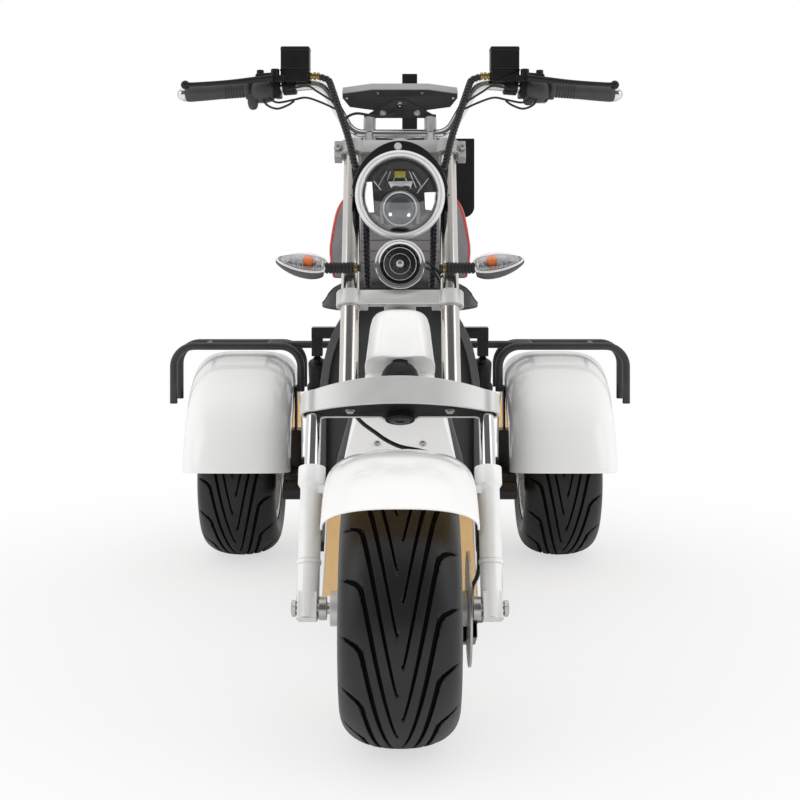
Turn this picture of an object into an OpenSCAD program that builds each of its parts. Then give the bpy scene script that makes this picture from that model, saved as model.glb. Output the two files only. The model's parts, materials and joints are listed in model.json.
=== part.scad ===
// Electric golf trike: one wide front wheel in a raked fork, two wide rear wheels, a saddle and a bag post.
// Millimetres. The trike faces -Y, +X is to the right seen from ahead, +Z is up, the ground is Z = 0.

/* [Overall] */
// distance between the front and the rear axle
wheelbase = 1290; // [1270:1:1310]
// distance between the middles of the rear wheels
track = 852; // [840:1:870]
// gap left between two pieces that sit on each other
seat_gap = 0.3; // [0.2:0.05:0.5]
// gap between a turning shaft and its bearing
run_gap = 0.05; // [0.02:0.01:0.1]

/* [Wheels] */
// radius of every tyre
wheel_r = 228.5; // [222:0.5:232]
// width of every tyre
tyre_w = 205; // [196:1:208]
// radius of the rim where the tyre sits
bead_r = 127; // [122:1:132]
// radius of the front axle
front_axle_r = 10; // [8:0.5:12]
// radius of the rear spindles
spindle_r = 12; // [10:0.5:14]
// radius of the front brake disc
front_disc_r = 98; // [90:1:100]
// radius of the rear brake discs
rear_disc_r = 78; // [70:1:82]

/* [Fork] */
// angle between the steering stem and the upright
rake = 28; // [27:0.25:29]
// radius of the steering stem
stem_r = 14; // [12:0.5:16]
// half the distance between the upper fork tubes
tube_x = 97; // [94:1:100]
// radius of the upper fork tubes
tube_r = 18; // [16:0.5:19]
// how far the upper fork tubes stand ahead of the stem
tube_ahead = 25; // [22:1:28]
// half the distance between the lower fork legs
leg_x = 162; // [160:0.5:165]
// radius of the bright upper part of the legs
stanchion_r = 14.5; // [13:0.5:16]
// radius of the lower sliders
slider_r = 20; // [18:0.5:21]
// height of the lower yoke's underside above the axle, along the stem
yoke_h = 355; // [350:1:362]
// thickness of the lower yoke at its middle
yoke_t = 54; // [50:1:58]
// radius of the lower yoke's bowed front
yoke_bow = 330; // [320:2:360]
// height of the middle clamp above the axle, along the stem
mid_h = 566; // [562:1:570]
// height of the top clamp above the axle, along the stem
top_h = 905; // [895:1:915]
// thickness of the middle and top clamps
clamp_t = 30; // [26:1:32]

/* [Mudguards] */
// outer radius of the front mudguard
front_guard_r = 275; // [272:1:280]
// half width of the front mudguard at its front lip
front_guard_hw = 132; // [128:1:136]
// outer radius of the rear mudguards
rear_guard_r = 320; // [312:1:322]
// half width of a rear mudguard
rear_guard_hw = 137; // [132:1:140]
// thickness of the mudguard shells
guard_t = 4; // [3:0.5:5]

/* [Handlebar] */
// half width of the handlebar
bar_half = 455; // [440:1:470]
// radius of the handlebar tube
bar_r = 11; // [10:0.5:12]
// height of the bends above the ground
bar_bend_z = 1195; // [1185:1:1205]
// height of the bar ends above the ground
bar_end_z = 1177; // [1168:1:1186]
// radius of the grips
grip_r = 16.5; // [15:0.5:18]
// length of a grip
grip_len = 132; // [120:1:140]

/* [Lamps] */
// radius of the headlight ring
head_r = 88; // [84:0.5:92]
// height of the headlight's middle
head_z = 958; // [950:1:966]
// radius of the horn
horn_r = 48; // [44:0.5:50]
// height of the horn's middle
horn_z = 825; // [818:1:830]

/* [Body] */
// half width of the body arch
arch_hw = 182; // [174:1:188]
// height of the body arch's top
arch_top = 752; // [744:1:758]
// height of the footboards' top
deck_z = 244; // [238:1:252]
// half width of the footboards
deck_hw = 190; // [184:1:196]
// half width of the saddle
saddle_hw = 190; // [180:1:198]
// half width of the backrest
back_hw = 184; // [176:1:190]

/* [Rear] */
// radius of the rack tubes
rack_r = 10; // [9:0.5:11]
// gap between the rear mudguards and the rack tubes above them
rack_over = 13.5; // [10:0.5:18]
// half width over the rack tubes' middles
rack_hw = 603; // [596:1:610]
// how far the bag post stands to the right of the middle
post_x = 27; // [0:1:40]
// how far the bag post stands behind the rear axle
post_back = 68; // [64:1:80]
// length of the bag tray
tray_len = 251.2; // [240:0.2:280]
// height of the bag post's top
post_top = 1316; // [1290:1:1340]
// width of the bag post
post_w = 42; // [36:1:46]

/* [Hidden] */
$fn = 48;
post_y = wheelbase + post_back;
length = wheel_r + post_y + post_w + seat_gap + tray_len;
front_y = -length / 2 + wheel_r;
rear_y = front_y + wheelbase;
yoke_top = yoke_h + yoke_t;
stem_top = mid_h + clamp_t + 24;
// handlebar's middle up the stem, and the risers that hold it
bar_h = top_h + clamp_t + 39;
riser_x = 64;
riser_r = 13;
cap_up = 38.4;
wheel_x = track / 2;
eps = 0.01;
// body: front of the arch, its back, the rear uprights behind it and the shelf under the saddle
arch_y = 620;
arch_back = wheelbase - 286;
upright_y = arch_back + 2;
back_y = upright_y + 34;
shelf_z = 694;
rail_x = 105;
rail_low = 178;
rail_top = 228;
// rear: rack tubes above the mudguards, subframe above the rack, arms beside the wheels
guard_x = wheel_x - 8;
rack_z = wheel_r + rear_guard_r + rack_over + rack_r;
sub_z = rack_z + 28;
sub_top = sub_z + 40;
arm_x = wheel_x - 145;
arm_half = 19;
stay_out = guard_x - rear_guard_hw - 0.5;
stay_t = 6;
rack_in = stay_out - stay_t - seat_gap - rack_r - 0.1;

// places and directions
function unit(v) = v / norm(v);
function turn(p, i) = acos(unit(p[i] - p[i - 1]) * unit(p[i + 1] - p[i]));
// a point given in the fork's own frame: right, behind the stem, up the stem
function fork_at(x, y, z) =
  [x, front_y + y * cos(rake) + z * sin(rake), wheel_r - y * sin(rake) + z * cos(rake)];
// a point given behind the front axle
function at(x, y, z) = [x, front_y + y, z];
function mirror_x(p) = [-p.x, p.y, p.z];

module fork_frame() {
  translate([0, front_y, wheel_r]) rotate([-rake, 0, 0]) children();
}

module both_sides() {
  children();
  mirror([1, 0, 0]) children();
}

// round bar between two points
module rod(a, b, r) {
  d = b - a;
  translate(a) rotate([0, acos(d.z / norm(d)), atan2(d.y, d.x)]) cylinder(r = r, h = norm(d));
}

// quarter of a ring that joins two straight lengths of tube
module elbow(a, b, c, r, bend) {
  u = unit(b - a);
  v = unit(c - b);
  ang = acos(u * v);
  n = unit(cross(u, v));
  s = cross(n, u);
  m = b - u * bend * tan(ang / 2) + s * bend;
  multmatrix([[-s.x, u.x, n.x, m.x], [-s.y, u.y, n.y, m.y], [-s.z, u.z, n.z, m.z], [0, 0, 0, 1]])
    rotate_extrude(angle = ang) translate([bend, 0]) circle(r = r + 0.05);
}

// tube through points, with one bend radius; each straight length reaches 1 mm into its bends
module bent_tube(p, r, bend) {
  n = len(p);
  t = [for (i = [0:n - 1]) (i == 0 || i == n - 1) ? 0 : bend * tan(turn(p, i) / 2) - 1];
  for (i = [0:n - 2])
    rod(p[i] + unit(p[i + 1] - p[i]) * t[i], p[i + 1] - unit(p[i + 1] - p[i]) * t[i + 1], r);
  for (i = [1:n - 2]) elbow(p[i - 1], p[i], p[i + 1], r, bend);
}

// solid between rings of equally many points
module skin(rings) {
  m = len(rings[0]);
  k = len(rings);
  sides = [for (i = [0:k - 2], j = [0:m - 1]) each [
    [i * m + j, i * m + (j + 1) % m, (i + 1) * m + (j + 1) % m],
    [i * m + j, (i + 1) * m + (j + 1) % m, (i + 1) * m + j]]];
  first = [[for (j = [m - 1:-1:0]) j]];
  last = [[for (j = [0:m - 1]) (k - 1) * m + j]];
  polyhedron(points = [for (q = rings) each q], faces = concat(sides, first, last), convexity = 8);
}

// sheet between rings whose first half is the outside and second half, turned round, the inside
module shell_skin(rings) {
  m = len(rings[0]);
  k = len(rings);
  h = m / 2;
  e = (k - 1) * m;
  sides = [for (i = [0:k - 2], j = [0:m - 1]) each [
    [i * m + j, i * m + (j + 1) % m, (i + 1) * m + (j + 1) % m],
    [i * m + j, (i + 1) * m + (j + 1) % m, (i + 1) * m + j]]];
  first = [for (j = [0:h - 2]) each [[j + 1, j, m - 1 - j], [j + 1, m - 1 - j, m - 2 - j]]];
  last = [for (j = [0:h - 2]) each [[e + j, e + j + 1, e + m - 2 - j], [e + j, e + m - 2 - j, e + m - 1 - j]]];
  polyhedron(points = [for (q = rings) each q], faces = concat(sides, first, last), convexity = 8);
}

// rounded outline, power n: 2 is an ellipse, more is squarer
function sgn_pow(v, n) = sign(v) * pow(abs(v), n);
function oval(a, b, n, steps) = [for (i = [0:steps - 1])
  [a * sgn_pow(cos(360 * i / steps), 2 / n), b * sgn_pow(sin(360 * i / steps), 2 / n)]];

// half of such an outline over a mudguard, from the right skirt over the crown to the left one
function guard_line(hw, low, high, n, steps) = [for (i = [0:steps])
  [low + (high - low) * sgn_pow(sin(180 * i / steps), 2 / n), hw * sgn_pow(cos(180 * i / steps), 2 / n)]];
function reversed(p) = [for (i = [len(p) - 1:-1:0]) p[i]];

// body of revolution about a line along X, outline as [radius, x]
module turned_x(outline) {
  rotate([0, 90, 0]) rotate_extrude() polygon(outline);
}

// body of revolution about a line along Y, outline as [radius, y]
module turned_y(outline) {
  rotate([-90, 0, 0]) rotate_extrude() polygon(outline);
}

// bar with a rectangular section, given by its two corners
module block(a, b) {
  translate(a) cube(b - a);
}

// tyre outline: crown, shoulders and walls down to the beads
bead_x = 84;
wall_r = bead_r + 38;
function tyre_outline() = concat(
  [[bead_r, -bead_x]],
  [for (i = [0:18]) let (a = 180 - 10 * i)
    [wall_r + (wheel_r - wall_r) * sgn_pow(sin(a), 2 / 2.3), tyre_w / 2 * sgn_pow(cos(a), 2 / 2.3)]],
  [[bead_r, bead_x]]);
// where a rim lip of height h meets the tyre's wall
function lip_x(h) = bead_x + h * (tyre_w / 2 - bead_x) / (wall_r - bead_r) + 2 * seat_gap;

module tyre(x, y) {
  color([0.06, 0.06, 0.06]) translate([x, y, wheel_r]) turned_x(tyre_outline());
}

// rim with its hub from x = in_x to out_x about the wheel's middle
module rim(x, y, bore, in_x, out_x, hub_r) {
  color([0.74, 0.74, 0.75]) translate([x, y, wheel_r]) difference() {
    union() {
      turned_x([[bead_r - 14, -bead_x - 1], [bead_r - seat_gap, -bead_x - 1], [bead_r - seat_gap, bead_x + 1],
        [bead_r - 14, bead_x + 1]]);
      for (s = [-1, 1]) turned_x([[bead_r - 14, s * bead_x], [bead_r - 1, s * bead_x],
        [bead_r - 1, s * lip_x(0)], [bead_r + 7, s * lip_x(7)], [bead_r + 7, s * (lip_x(7) + 3)],
        [bead_r - 14, s * (lip_x(7) + 3)]]);
      translate([in_x, 0, 0]) rotate([0, 90, 0]) cylinder(r = hub_r, h = out_x - in_x);
      for (i = [0:4]) rotate([72 * i + 90, 0, 0]) translate([20, -16, 0]) cube([30, 32, bead_r - 8]);
    }
    translate([in_x - 1, 0, 0]) rotate([0, 90, 0]) cylinder(r = bore, h = out_x - in_x + 2);
  }
}

// drilled brake disc between x0 and x1
module disc(x0, x1, y, r, bore) {
  color([0.6, 0.6, 0.6]) translate([x0, y, wheel_r]) rotate([0, 90, 0]) difference() {
    cylinder(r = r, h = x1 - x0);
    translate([0, 0, -1]) cylinder(r = bore, h = x1 - x0 + 2);
    for (i = [0:11]) rotate(30 * i) translate([r - 14, 0, -1]) cylinder(r = 5, h = x1 - x0 + 2);
  }
}

module front_tyre() { tyre(0, front_y); }
module left_tyre() { tyre(-wheel_x, rear_y); }
module right_tyre() { tyre(wheel_x, rear_y); }
module front_rim() { rim(0, front_y, front_axle_r + run_gap, -122, 118, 30); }
module left_rim() { rim(-wheel_x, rear_y, spindle_r + run_gap, -60, 106, 30); }
module right_rim() { rim(wheel_x, rear_y, spindle_r + run_gap, -106, 60, 30); }
module front_disc() { disc(118 + seat_gap, 122.3, front_y, front_disc_r, 16); }
module left_disc() { disc(106 - wheel_x + seat_gap, 110.3 - wheel_x, rear_y, rear_disc_r, 20); }
module right_disc() { disc(wheel_x - 110.3, wheel_x - 106 - seat_gap, rear_y, rear_disc_r, 20); }

// plan of the lower yoke, drawn inward by d
module yoke_plan(d) {
  intersection() {
    translate([0, yoke_bow - 68]) circle(r = yoke_bow - d, $fn = 360);
    translate([-leg_x, -80]) square([2 * leg_x, 96 - d]);
  }
  for (s = [-1, 1]) translate([s * leg_x, 0]) circle(r = 26 - d);
  circle(r = 42 - d);
}

module lower_yoke() {
  color([0.76, 0.76, 0.76]) fork_frame() difference() {
    intersection() {
      translate([0, 0, yoke_h]) linear_extrude(yoke_t) yoke_plan(0);
      translate([0, 0, yoke_top - 1140]) rotate([90, 0, 0])
        cylinder(r = 1140, h = 300, center = true, $fn = 720);
    }
    translate([0, 0, yoke_h - 1]) linear_extrude(9) yoke_plan(6);
    for (s = [-1, 1]) {
      translate([s * leg_x, 0, yoke_h]) cylinder(r = stanchion_r + seat_gap, h = 30);
      translate([s * tube_x, -tube_ahead, yoke_top - 28]) cylinder(r = tube_r + seat_gap, h = 40);
    }
    translate([0, 0, yoke_h]) cylinder(r = stem_r + seat_gap, h = 80);
  }
}

module yoke_core() {
  color([0.08, 0.08, 0.08]) fork_frame() difference() {
    union() {
      translate([0, 0, yoke_h + 1]) linear_extrude(7 - seat_gap) yoke_plan(6 + seat_gap);
      translate([0, 0, yoke_h - 10]) cylinder(r = 28, h = 12);
    }
    for (s = [-1, 1]) translate([s * leg_x, 0, yoke_h - 20]) cylinder(r = stanchion_r + seat_gap, h = 60);
    translate([0, 0, yoke_h - 20]) cylinder(r = stem_r + seat_gap, h = 60);
  }
}

module fork_tubes() {
  color([0.7, 0.69, 0.67]) fork_frame() for (s = [-1, 1])
    translate([s * tube_x, -tube_ahead, yoke_top - 28 + seat_gap])
      cylinder(r = tube_r, h = top_h + clamp_t + 4 - (yoke_top - 28));
}

// plan of a clamp round the two tubes, with a bridge of half depth b
module clamp_plan(b) {
  for (s = [-1, 1]) translate([s * tube_x, -tube_ahead]) circle(r = tube_r + 9);
  translate([-tube_x, -tube_ahead - b]) square([2 * tube_x, 2 * b]);
  circle(r = stem_r + 17);
}

module mid_clamp() {
  color([0.72, 0.72, 0.71]) fork_frame() difference() {
    union() {
      translate([0, 0, mid_h + 8]) linear_extrude(clamp_t - 8) clamp_plan(17);
      translate([0, 0, mid_h]) linear_extrude(10) difference() {
        clamp_plan(17);
        translate([-62, -38]) square([36, 32]);
        translate([26, -38]) square([36, 32]);
      }
    }
    for (s = [-1, 1])
      translate([s * tube_x, -tube_ahead, mid_h - 1]) cylinder(r = tube_r + seat_gap, h = clamp_t + 2);
    translate([0, 0, mid_h - 1]) cylinder(r = stem_r + seat_gap, h = clamp_t + 2);
  }
}

module top_clamp() {
  color([0.72, 0.72, 0.71]) fork_frame() difference() {
    union() {
      translate([0, 0, top_h]) linear_extrude(clamp_t) clamp_plan(18);
      for (s = [-1, 1]) {
        translate([s * (tube_x + 30) - 8, -tube_ahead - 14, top_h - 8]) cube([16, 28, clamp_t + 8]);
        translate([s * (tube_x + 24) - 12, -tube_ahead - 6, top_h]) cube([24, 12, clamp_t]);
        translate([s * riser_x, 0, top_h]) cylinder(r = riser_r, h = bar_h - top_h - 0.5);
        translate([s * riser_x, 0, top_h]) cylinder(r = riser_r + 4, h = clamp_t + 6);
        translate([s * riser_x - 20, -20, top_h]) cube([40, 20, clamp_t]);
      }
      translate([0, -6, top_h]) cylinder(r = 22, h = clamp_t + 14);
      translate([0, -6, top_h + clamp_t + 14]) cylinder(r1 = 22, r2 = 12, h = 6);
    }
    for (s = [-1, 1])
      translate([s * tube_x, -tube_ahead, top_h - 1]) cylinder(r = tube_r + seat_gap, h = clamp_t + 2);
    translate([0, 0, bar_h]) rotate([0, 90, 0]) cylinder(r = bar_r + seat_gap, h = 200, center = true);
  }
}

// upper halves of the risers, on the handlebar
module riser_caps() {
  color([0.74, 0.74, 0.73]) fork_frame() for (s = [-1, 1]) difference() {
    translate([s * riser_x, 0, bar_h + 0.5]) cylinder(r = riser_r, h = cap_up - 0.5);
    translate([0, 0, bar_h]) rotate([0, 90, 0]) cylinder(r = bar_r + seat_gap, h = 200, center = true);
  }
}

module steering_stem() {
  color([0.1, 0.1, 0.1]) fork_frame() {
    translate([0, 0, yoke_h - 10]) cylinder(r = stem_r, h = stem_top - yoke_h + 10);
    translate([0, 0, yoke_top + seat_gap]) cylinder(r1 = 37, r2 = 30, h = 22);
    translate([0, 0, yoke_top + 22 + seat_gap]) cylinder(r1 = 30, r2 = 18, h = 14);
    translate([0, 0, mid_h + clamp_t + seat_gap]) cylinder(r = 22, h = 12);
  }
}

module stanchions() {
  color([0.8, 0.8, 0.8]) fork_frame() for (s = [-1, 1])
    translate([s * leg_x, 0, 120]) cylinder(r = stanchion_r, h = yoke_h + 30 - seat_gap - 120);
}

module sliders() {
  color([0.76, 0.76, 0.76]) fork_frame() for (s = [-1, 1]) difference() {
    union() {
      translate([s * leg_x, 0, -18]) cylinder(r = slider_r, h = 268);
      translate([s * leg_x, 0, 214]) cylinder(r1 = slider_r, r2 = 25, h = 8);
      translate([s * leg_x, 0, 222]) cylinder(r = 25, h = 32);
      translate([s * leg_x - 17, -18, -20]) cube([34, 36, 46]);
      translate([s * leg_x, 0, 76]) cylinder(r = slider_r + 2, h = 8);
      translate([s * (front_guard_hw + 9.4) - 8, -14, 202]) cube([16, 28, 15]);
    }
    translate([s * leg_x, 0, 118]) cylinder(r = stanchion_r + seat_gap, h = 200);
    translate([s * leg_x - 40, 0, 0]) rotate([0, 90, 0]) cylinder(r = front_axle_r + seat_gap, h = 80);
  }
}

module front_axle() {
  color([0.7, 0.7, 0.7]) translate([0, front_y, wheel_r]) rotate([0, 90, 0]) {
    cylinder(r = front_axle_r, h = 2 * leg_x + 56, center = true);
    for (s = [-1, 1]) translate([0, 0, s * (leg_x + slider_r + 4)])
      cylinder(r = 15, h = 7, center = true, $fn = 6);
    translate([0, 0, 128]) cylinder(r = 20, h = leg_x - slider_r - 128 - seat_gap);
    translate([0, 0, -leg_x + slider_r + seat_gap]) cylinder(r = 20, h = leg_x - slider_r - 128 - seat_gap);
  }
}

// front mudguard sections: angle from straight ahead, half width, inner radius of the skirt
guard_cuts = [[51, 0, 218], [70, 0, 212], [90, 0, 206], [110, 0, 204], [130, 2, 204], [150, 8, 200],
  [170, 14, 196], [191, 18, 192]];
guard_angle = 0;
guard_wider = 1;
guard_low = 2;

function guard_ring(cut) = let (
  hw = front_guard_hw + cut[guard_wider],
  out = guard_line(hw, cut[guard_low], front_guard_r, 2.5, 16),
  ins = guard_line(hw - guard_t, cut[guard_low], front_guard_r - guard_t, 2.5, 16))
  [for (q = concat(out, reversed(ins)))
    [q[1], front_y - q[0] * cos(cut[guard_angle]), wheel_r + q[0] * sin(cut[guard_angle])]];

module front_fender() {
  color([0.93, 0.93, 0.92]) {
    shell_skin([for (cut = guard_cuts) guard_ring(cut)]);
  }
}

module front_caliper() {
  color([0.09, 0.09, 0.09]) fork_frame() difference() {
    union() {
      translate([107.5, 52, -40]) cube([30, 72, 60]);
      translate([128.5, 18.4, -14]) cube([20, 40, 30]);
    }
    translate([113, 0, 0]) rotate([0, 90, 0]) cylinder(r = front_disc_r + 5.2, h = 14.6);
    rotate([0, 90, 0]) cylinder(r = 40, h = 127.6);
    rotate([0, 90, 0]) cylinder(r = 20 + 2 * seat_gap, h = leg_x - slider_r + 1);
  }
}

// headlight: middle of the ring's front
head_y = front_y + 262;
ear_h = (head_z - wheel_r) / cos(rake) - 6;

module headlight_shell() {
  color([0.05, 0.05, 0.05]) translate([0, head_y, head_z])
    difference() {
      turned_y([[0, 22], [72, 22], [80, 20.5], [80, 34], [73, 52], [62, 68], [44, 82], [0, 88]]);
      translate([0, 20, 0]) rotate([-90, 0, 0]) cylinder(r = 70, h = 18);
    }
}

module headlight_ring() {
  color([0.82, 0.82, 0.82]) translate([0, head_y, head_z])
    turned_y([[74, 2], [78, -3], [83, -3], [head_r, 4], [head_r, 30], [81, 30], [81, 20 - seat_gap],
      [74, 20 - seat_gap]]);
}

module headlight_lens() {
  color([0.8, 0.85, 0.9, 0.5]) translate([0, head_y, head_z])
    turned_y([[0, -2], [40, 0], [73.5, 6], [73.5, 11], [40, 5], [0, 3]]);
}

module headlight_bracket() {
  color([0.06, 0.06, 0.06]) {
    translate([0, head_y, head_z]) rotate([-90, 0, 0]) rotate(-172) rotate_extrude(angle = 164) {
      translate([80.3, 30 + seat_gap]) square([16, 5]);
      translate([90, 30 + seat_gap]) square([6.3, 40]);
    }
    fork_frame() for (s = [-1, 1])
      translate([s * 90 - 4, -84, ear_h - 20]) cube([8, 84 - tube_ahead - tube_r - seat_gap, 40]);
  }
}

module horn() {
  color([0.1, 0.1, 0.1]) {
    translate([0, front_y + 214, horn_z]) {
      turned_y([[0, 6], [14, 4], [14, 10], [30, 8], [30, 14], [38, 12], [38, 2], [42, 0], [46, 0], [horn_r, 4],
        [horn_r, 16], [44, 20], [36, 34], [12, 40], [0, 40]]);
      translate([0, 39, 0]) rotate([-90, 0, 0]) cylinder(r = 7, h = 20);
    }
    fork_frame() translate([-11, -46, mid_h + clamp_t + seat_gap]) cube([22, 7, 64]);
  }
}

sig_y = front_y + 246;
sig_z = 816;

module signal_stalks() {
  color([0.07, 0.07, 0.07]) {
    both_sides() {
      translate([93, sig_y, sig_z]) rotate([0, 90, 0]) cylinder(r = 11, h = 53);
      translate([76, sig_y, sig_z]) rotate([0, 90, 0]) cylinder(r = 7, h = 20);
    }
    fork_frame() for (s = [-1, 1])
      translate([s * tube_x - 9, -62, 622]) cube([18, 62 - tube_ahead - tube_r - seat_gap, 24]);
  }
}

// lamp outline along its own axis, pointed at the outer end; the axis rises outward and a leaning plane parts
// the lens above it from the shell below
lamp_line = [[0, 0], [18, 0], [24, 14], [26, 32], [23, 56], [15, 78], [6, 92], [0, 96]];
lamp_rise = 8;
lamp_lean = 35;
lamp_part = 5;
module lamp_at() {
  both_sides() translate([146 + seat_gap, sig_y, sig_z]) children();
}

module signal_shells() {
  color([0.2, 0.2, 0.21]) lamp_at() difference() {
    rotate([0, -lamp_rise, 0]) turned_x(lamp_line);
    translate([-20, -60, -60]) cube([20, 120, 120]);
    rotate([0, -lamp_rise, 0]) rotate([lamp_lean, 0, 0]) translate([-20, -80, lamp_part - seat_gap / 2])
      cube([160, 160, 80]);
  }
}

module signal_lenses() {
  color([0.9, 0.75, 0.5, 0.6]) lamp_at() difference() {
    rotate([0, -lamp_rise, 0]) turned_x(lamp_line);
    translate([-20, -60, -60]) cube([20, 120, 120]);
    rotate([0, -lamp_rise, 0]) rotate([lamp_lean, 0, 0]) translate([-20, -80, lamp_part + seat_gap / 2 - 80])
      cube([160, 160, 80]);
  }
}

// right half of the handlebar, from the middle outward
bar_mid = fork_at(0, 0, bar_h);
bar_pts = [bar_mid, [100, bar_mid.y, bar_mid.z], [163, bar_mid.y + 8, bar_bend_z],
  [bar_half, bar_mid.y + 40, bar_end_z]];
bar_dir = unit(bar_pts[3] - bar_pts[2]);
function along_bar(d) = bar_pts[3] - bar_dir * d;

module handlebar() {
  color([0.78, 0.78, 0.78]) bent_tube(concat([for (i = [3, 2, 1]) mirror_x(bar_pts[i])],
    [for (i = [1, 2, 3]) bar_pts[i]]), bar_r, 40);
  color([0.8, 0.8, 0.8]) both_sides() {
    rod(along_bar(eps), along_bar(-7), grip_r - 1);
    translate(along_bar(-7)) sphere(r = grip_r - 3);
  }
}

module grips() {
  color([0.07, 0.07, 0.07]) both_sides() difference() {
    union() {
      rod(along_bar(seat_gap), along_bar(grip_len), grip_r);
      rod(along_bar(grip_len - 1), along_bar(grip_len + 7), grip_r + 5);
    }
    rod(along_bar(-5), along_bar(grip_len + 20), bar_r + seat_gap);
  }
}

module switch_pods() {
  color([0.08, 0.08, 0.08]) both_sides() difference() {
    union() {
      rod(along_bar(grip_len + 9), along_bar(grip_len + 47), 21);
      translate(along_bar(grip_len + 28) + [0, 2, -12]) cube([30, 40, 34], center = true);
    }
    rod(along_bar(grip_len), along_bar(grip_len + 80), bar_r + seat_gap);
  }
}

pot = along_bar(grip_len + 92);
// mouth and depth of the mirror thread
mirror_at = pot + [28, -32, 34];
mirror_deep = 18;
module brake_masters() {
  color([0.06, 0.06, 0.06]) both_sides() difference() {
    union() {
      rod(pot - bar_dir * 14, pot + bar_dir * 14, 18);
      translate(pot + [-12, -20, 20]) cube([58, 26, 26], center = true);
      translate(pot + [-14, -20, 56]) cube([60, 44, 48], center = true);
      translate(pot + [24, -34, 13]) cube([34, 26, 14], center = true);
      translate(mirror_at - [0, 0, 15]) cylinder(r = 9, h = 15);
    }
    rod(pot - bar_dir * 70, pot + bar_dir * 70, bar_r + seat_gap);
    translate(mirror_at - [0, 0, mirror_deep]) cylinder(r = 4, h = 40);
  }
}

lever_a = pot + [30, -44, 13];
lever_b = along_bar(90) + [0, -58, 12];
lever_c = along_bar(6) + [0, -52, 14];
module brake_levers() {
  color([0.06, 0.06, 0.06]) both_sides() {
    bent_tube([lever_a + [0, -9.8, 0], lever_b, lever_c], 6, 40);
    translate(lever_c) sphere(r = 9.5);
  }
}

// dash housing, its top leaning ahead: half outline seen from ahead; a plate with two feet stands it on the
// riser caps
dash_mid = bar_mid + [0, 20, 80];
dash_lean = 25;
dash_line = [[0, -24], [51, -24], [106, -16], [121, 4], [121, 15], [60, 24], [0, 24]];
dash_t = 34;
module dash() {
  color([0.07, 0.07, 0.08]) {
    translate(dash_mid) rotate([90 + dash_lean, 0, 0]) {
      linear_extrude(dash_t, center = true)
        polygon(concat(dash_line, [for (i = [len(dash_line) - 2:-1:1]) [-dash_line[i][0], dash_line[i][1]]]));
      translate([0, 0, dash_t / 2 - 0.5]) linear_extrude(5.5)
        polygon([[-72, -39], [72, -39], [72, -33], [10, 3], [-10, 3], [-72, -33]]);
    }
    fork_frame() for (s = [-1, 1])
      translate([s * riser_x - 12, -13, bar_h + cap_up + seat_gap]) cube([24, 26, 4]);
  }
}

// hoses clipped from the hand controls to the headlight, and the front brake hose
module cables() {
  color([0.05, 0.05, 0.05]) {
    both_sides()
      bent_tube([pot + [-42.8, -20, 20], pot + [-84, -22, 12], at(104, 368, 1074), at(90, 346, 1012),
        at(58, 344, 985)], 7, 22);
    bent_tube([fork_at(-72, 34, yoke_h - 0.5), fork_at(-50, 42, 340), fork_at(-28, 45, 322),
      fork_at(0, 48, 309), fork_at(34, 50, 304), fork_at(84, 50, 290), fork_at(143, 38, 236),
      fork_at(143, 38, 70), fork_at(130, 76, 52), fork_at(130, 76, 20 + seat_gap)], 4, 12);
  }
}

// neck sections: height up the stem, front, back, half width, depth of the scoop in the front
neck_cuts = [[462, -38, 128, 69, 13], [474, -40, 122, 67, 12], [488, -42, 115, 65, 10], [502, -44, 107, 63, 6],
  [518, -46, 98, 61, 2], [534, -46, 89, 59, 0], [546, -45, 81, 56, 0], [552, -43, 76, 52, 0],
  [556, -38, 70, 45, 0]];
cheek_cuts = [[416, 56, 148, 82, 0], [436, 51, 140, 77, 0], [470, 46, 124, 66, 0]];
neck_z = 0;
neck_front = 1;
neck_back = 2;
neck_hw = 3;
neck_scoop = 4;
// how deep the scoop is at half width x of a section
function scoop(c, x) = c[neck_scoop] * pow(max(0, 1 - pow(x / (0.72 * c[neck_hw]), 2)), 2);
function neck_ring(c) = [for (q = reversed(oval(c[neck_hw], (c[neck_back] - c[neck_front]) / 2, 3, 48)))
  fork_at(q[0], (c[neck_back] + c[neck_front]) / 2 + q[1] + (q[1] < 0 ? scoop(c, q[0]) : 0), c[neck_z])];

// frame: head tube in a moulded neck, down beam, floor rails and rear uprights
module frame() {
  color([0.94, 0.94, 0.93]) difference() {
    union() {
      skin([for (c = neck_cuts) neck_ring(c)]);
      skin([for (c = cheek_cuts) neck_ring(c)]);
      hull() {
        translate(at(-84, 310, 524)) cube([168, 36, 40]);
        translate(at(-112, 374, 420)) cube([224, 36, 8]);
      }
      hull() {
        translate(at(-112, 374, 420)) cube([224, 36, 8]);
        translate(at(-150, 388, 190)) cube([300, 36, 40]);
      }
      for (s = [-1, 1]) {
        block(at(s * rail_x - 20, 400, rail_low), at(s * rail_x + 20, back_y, rail_top));
        block(at(s * rail_x - 20, upright_y, rail_low), at(s * rail_x + 20, back_y, sub_top));
      }
      block(at(-rail_x - 20, upright_y, sub_z), at(rail_x + 20, back_y, sub_top));
      block(at(-rail_x - 20, upright_y, rail_low), at(rail_x + 20, back_y, rail_top));
    }
    fork_frame() translate([0, 0, 440]) cylinder(r = stem_r + run_gap, h = 200);
    fork_frame() translate([0, 0, 480]) cylinder(r = stem_r + 6, h = 58);
  }
}

// front outline of the body arch, drawn inward by d
function arch_line(d) = concat([[arch_hw - d, deck_z + seat_gap]],
  [for (i = [0:24]) let (a = 180 * i / 24)
    [(arch_hw - d) * sgn_pow(cos(a), 2 / 2.6), 440 + (arch_top - d - 440) * sgn_pow(sin(a), 2 / 2.6)]],
  [[-arch_hw + d, deck_z + seat_gap]]);

module arch_prism(d, y0, y1) {
  translate([0, front_y + y1, 0]) rotate([90, 0, 0]) linear_extrude(y1 - y0) polygon(arch_line(d));
}

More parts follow.
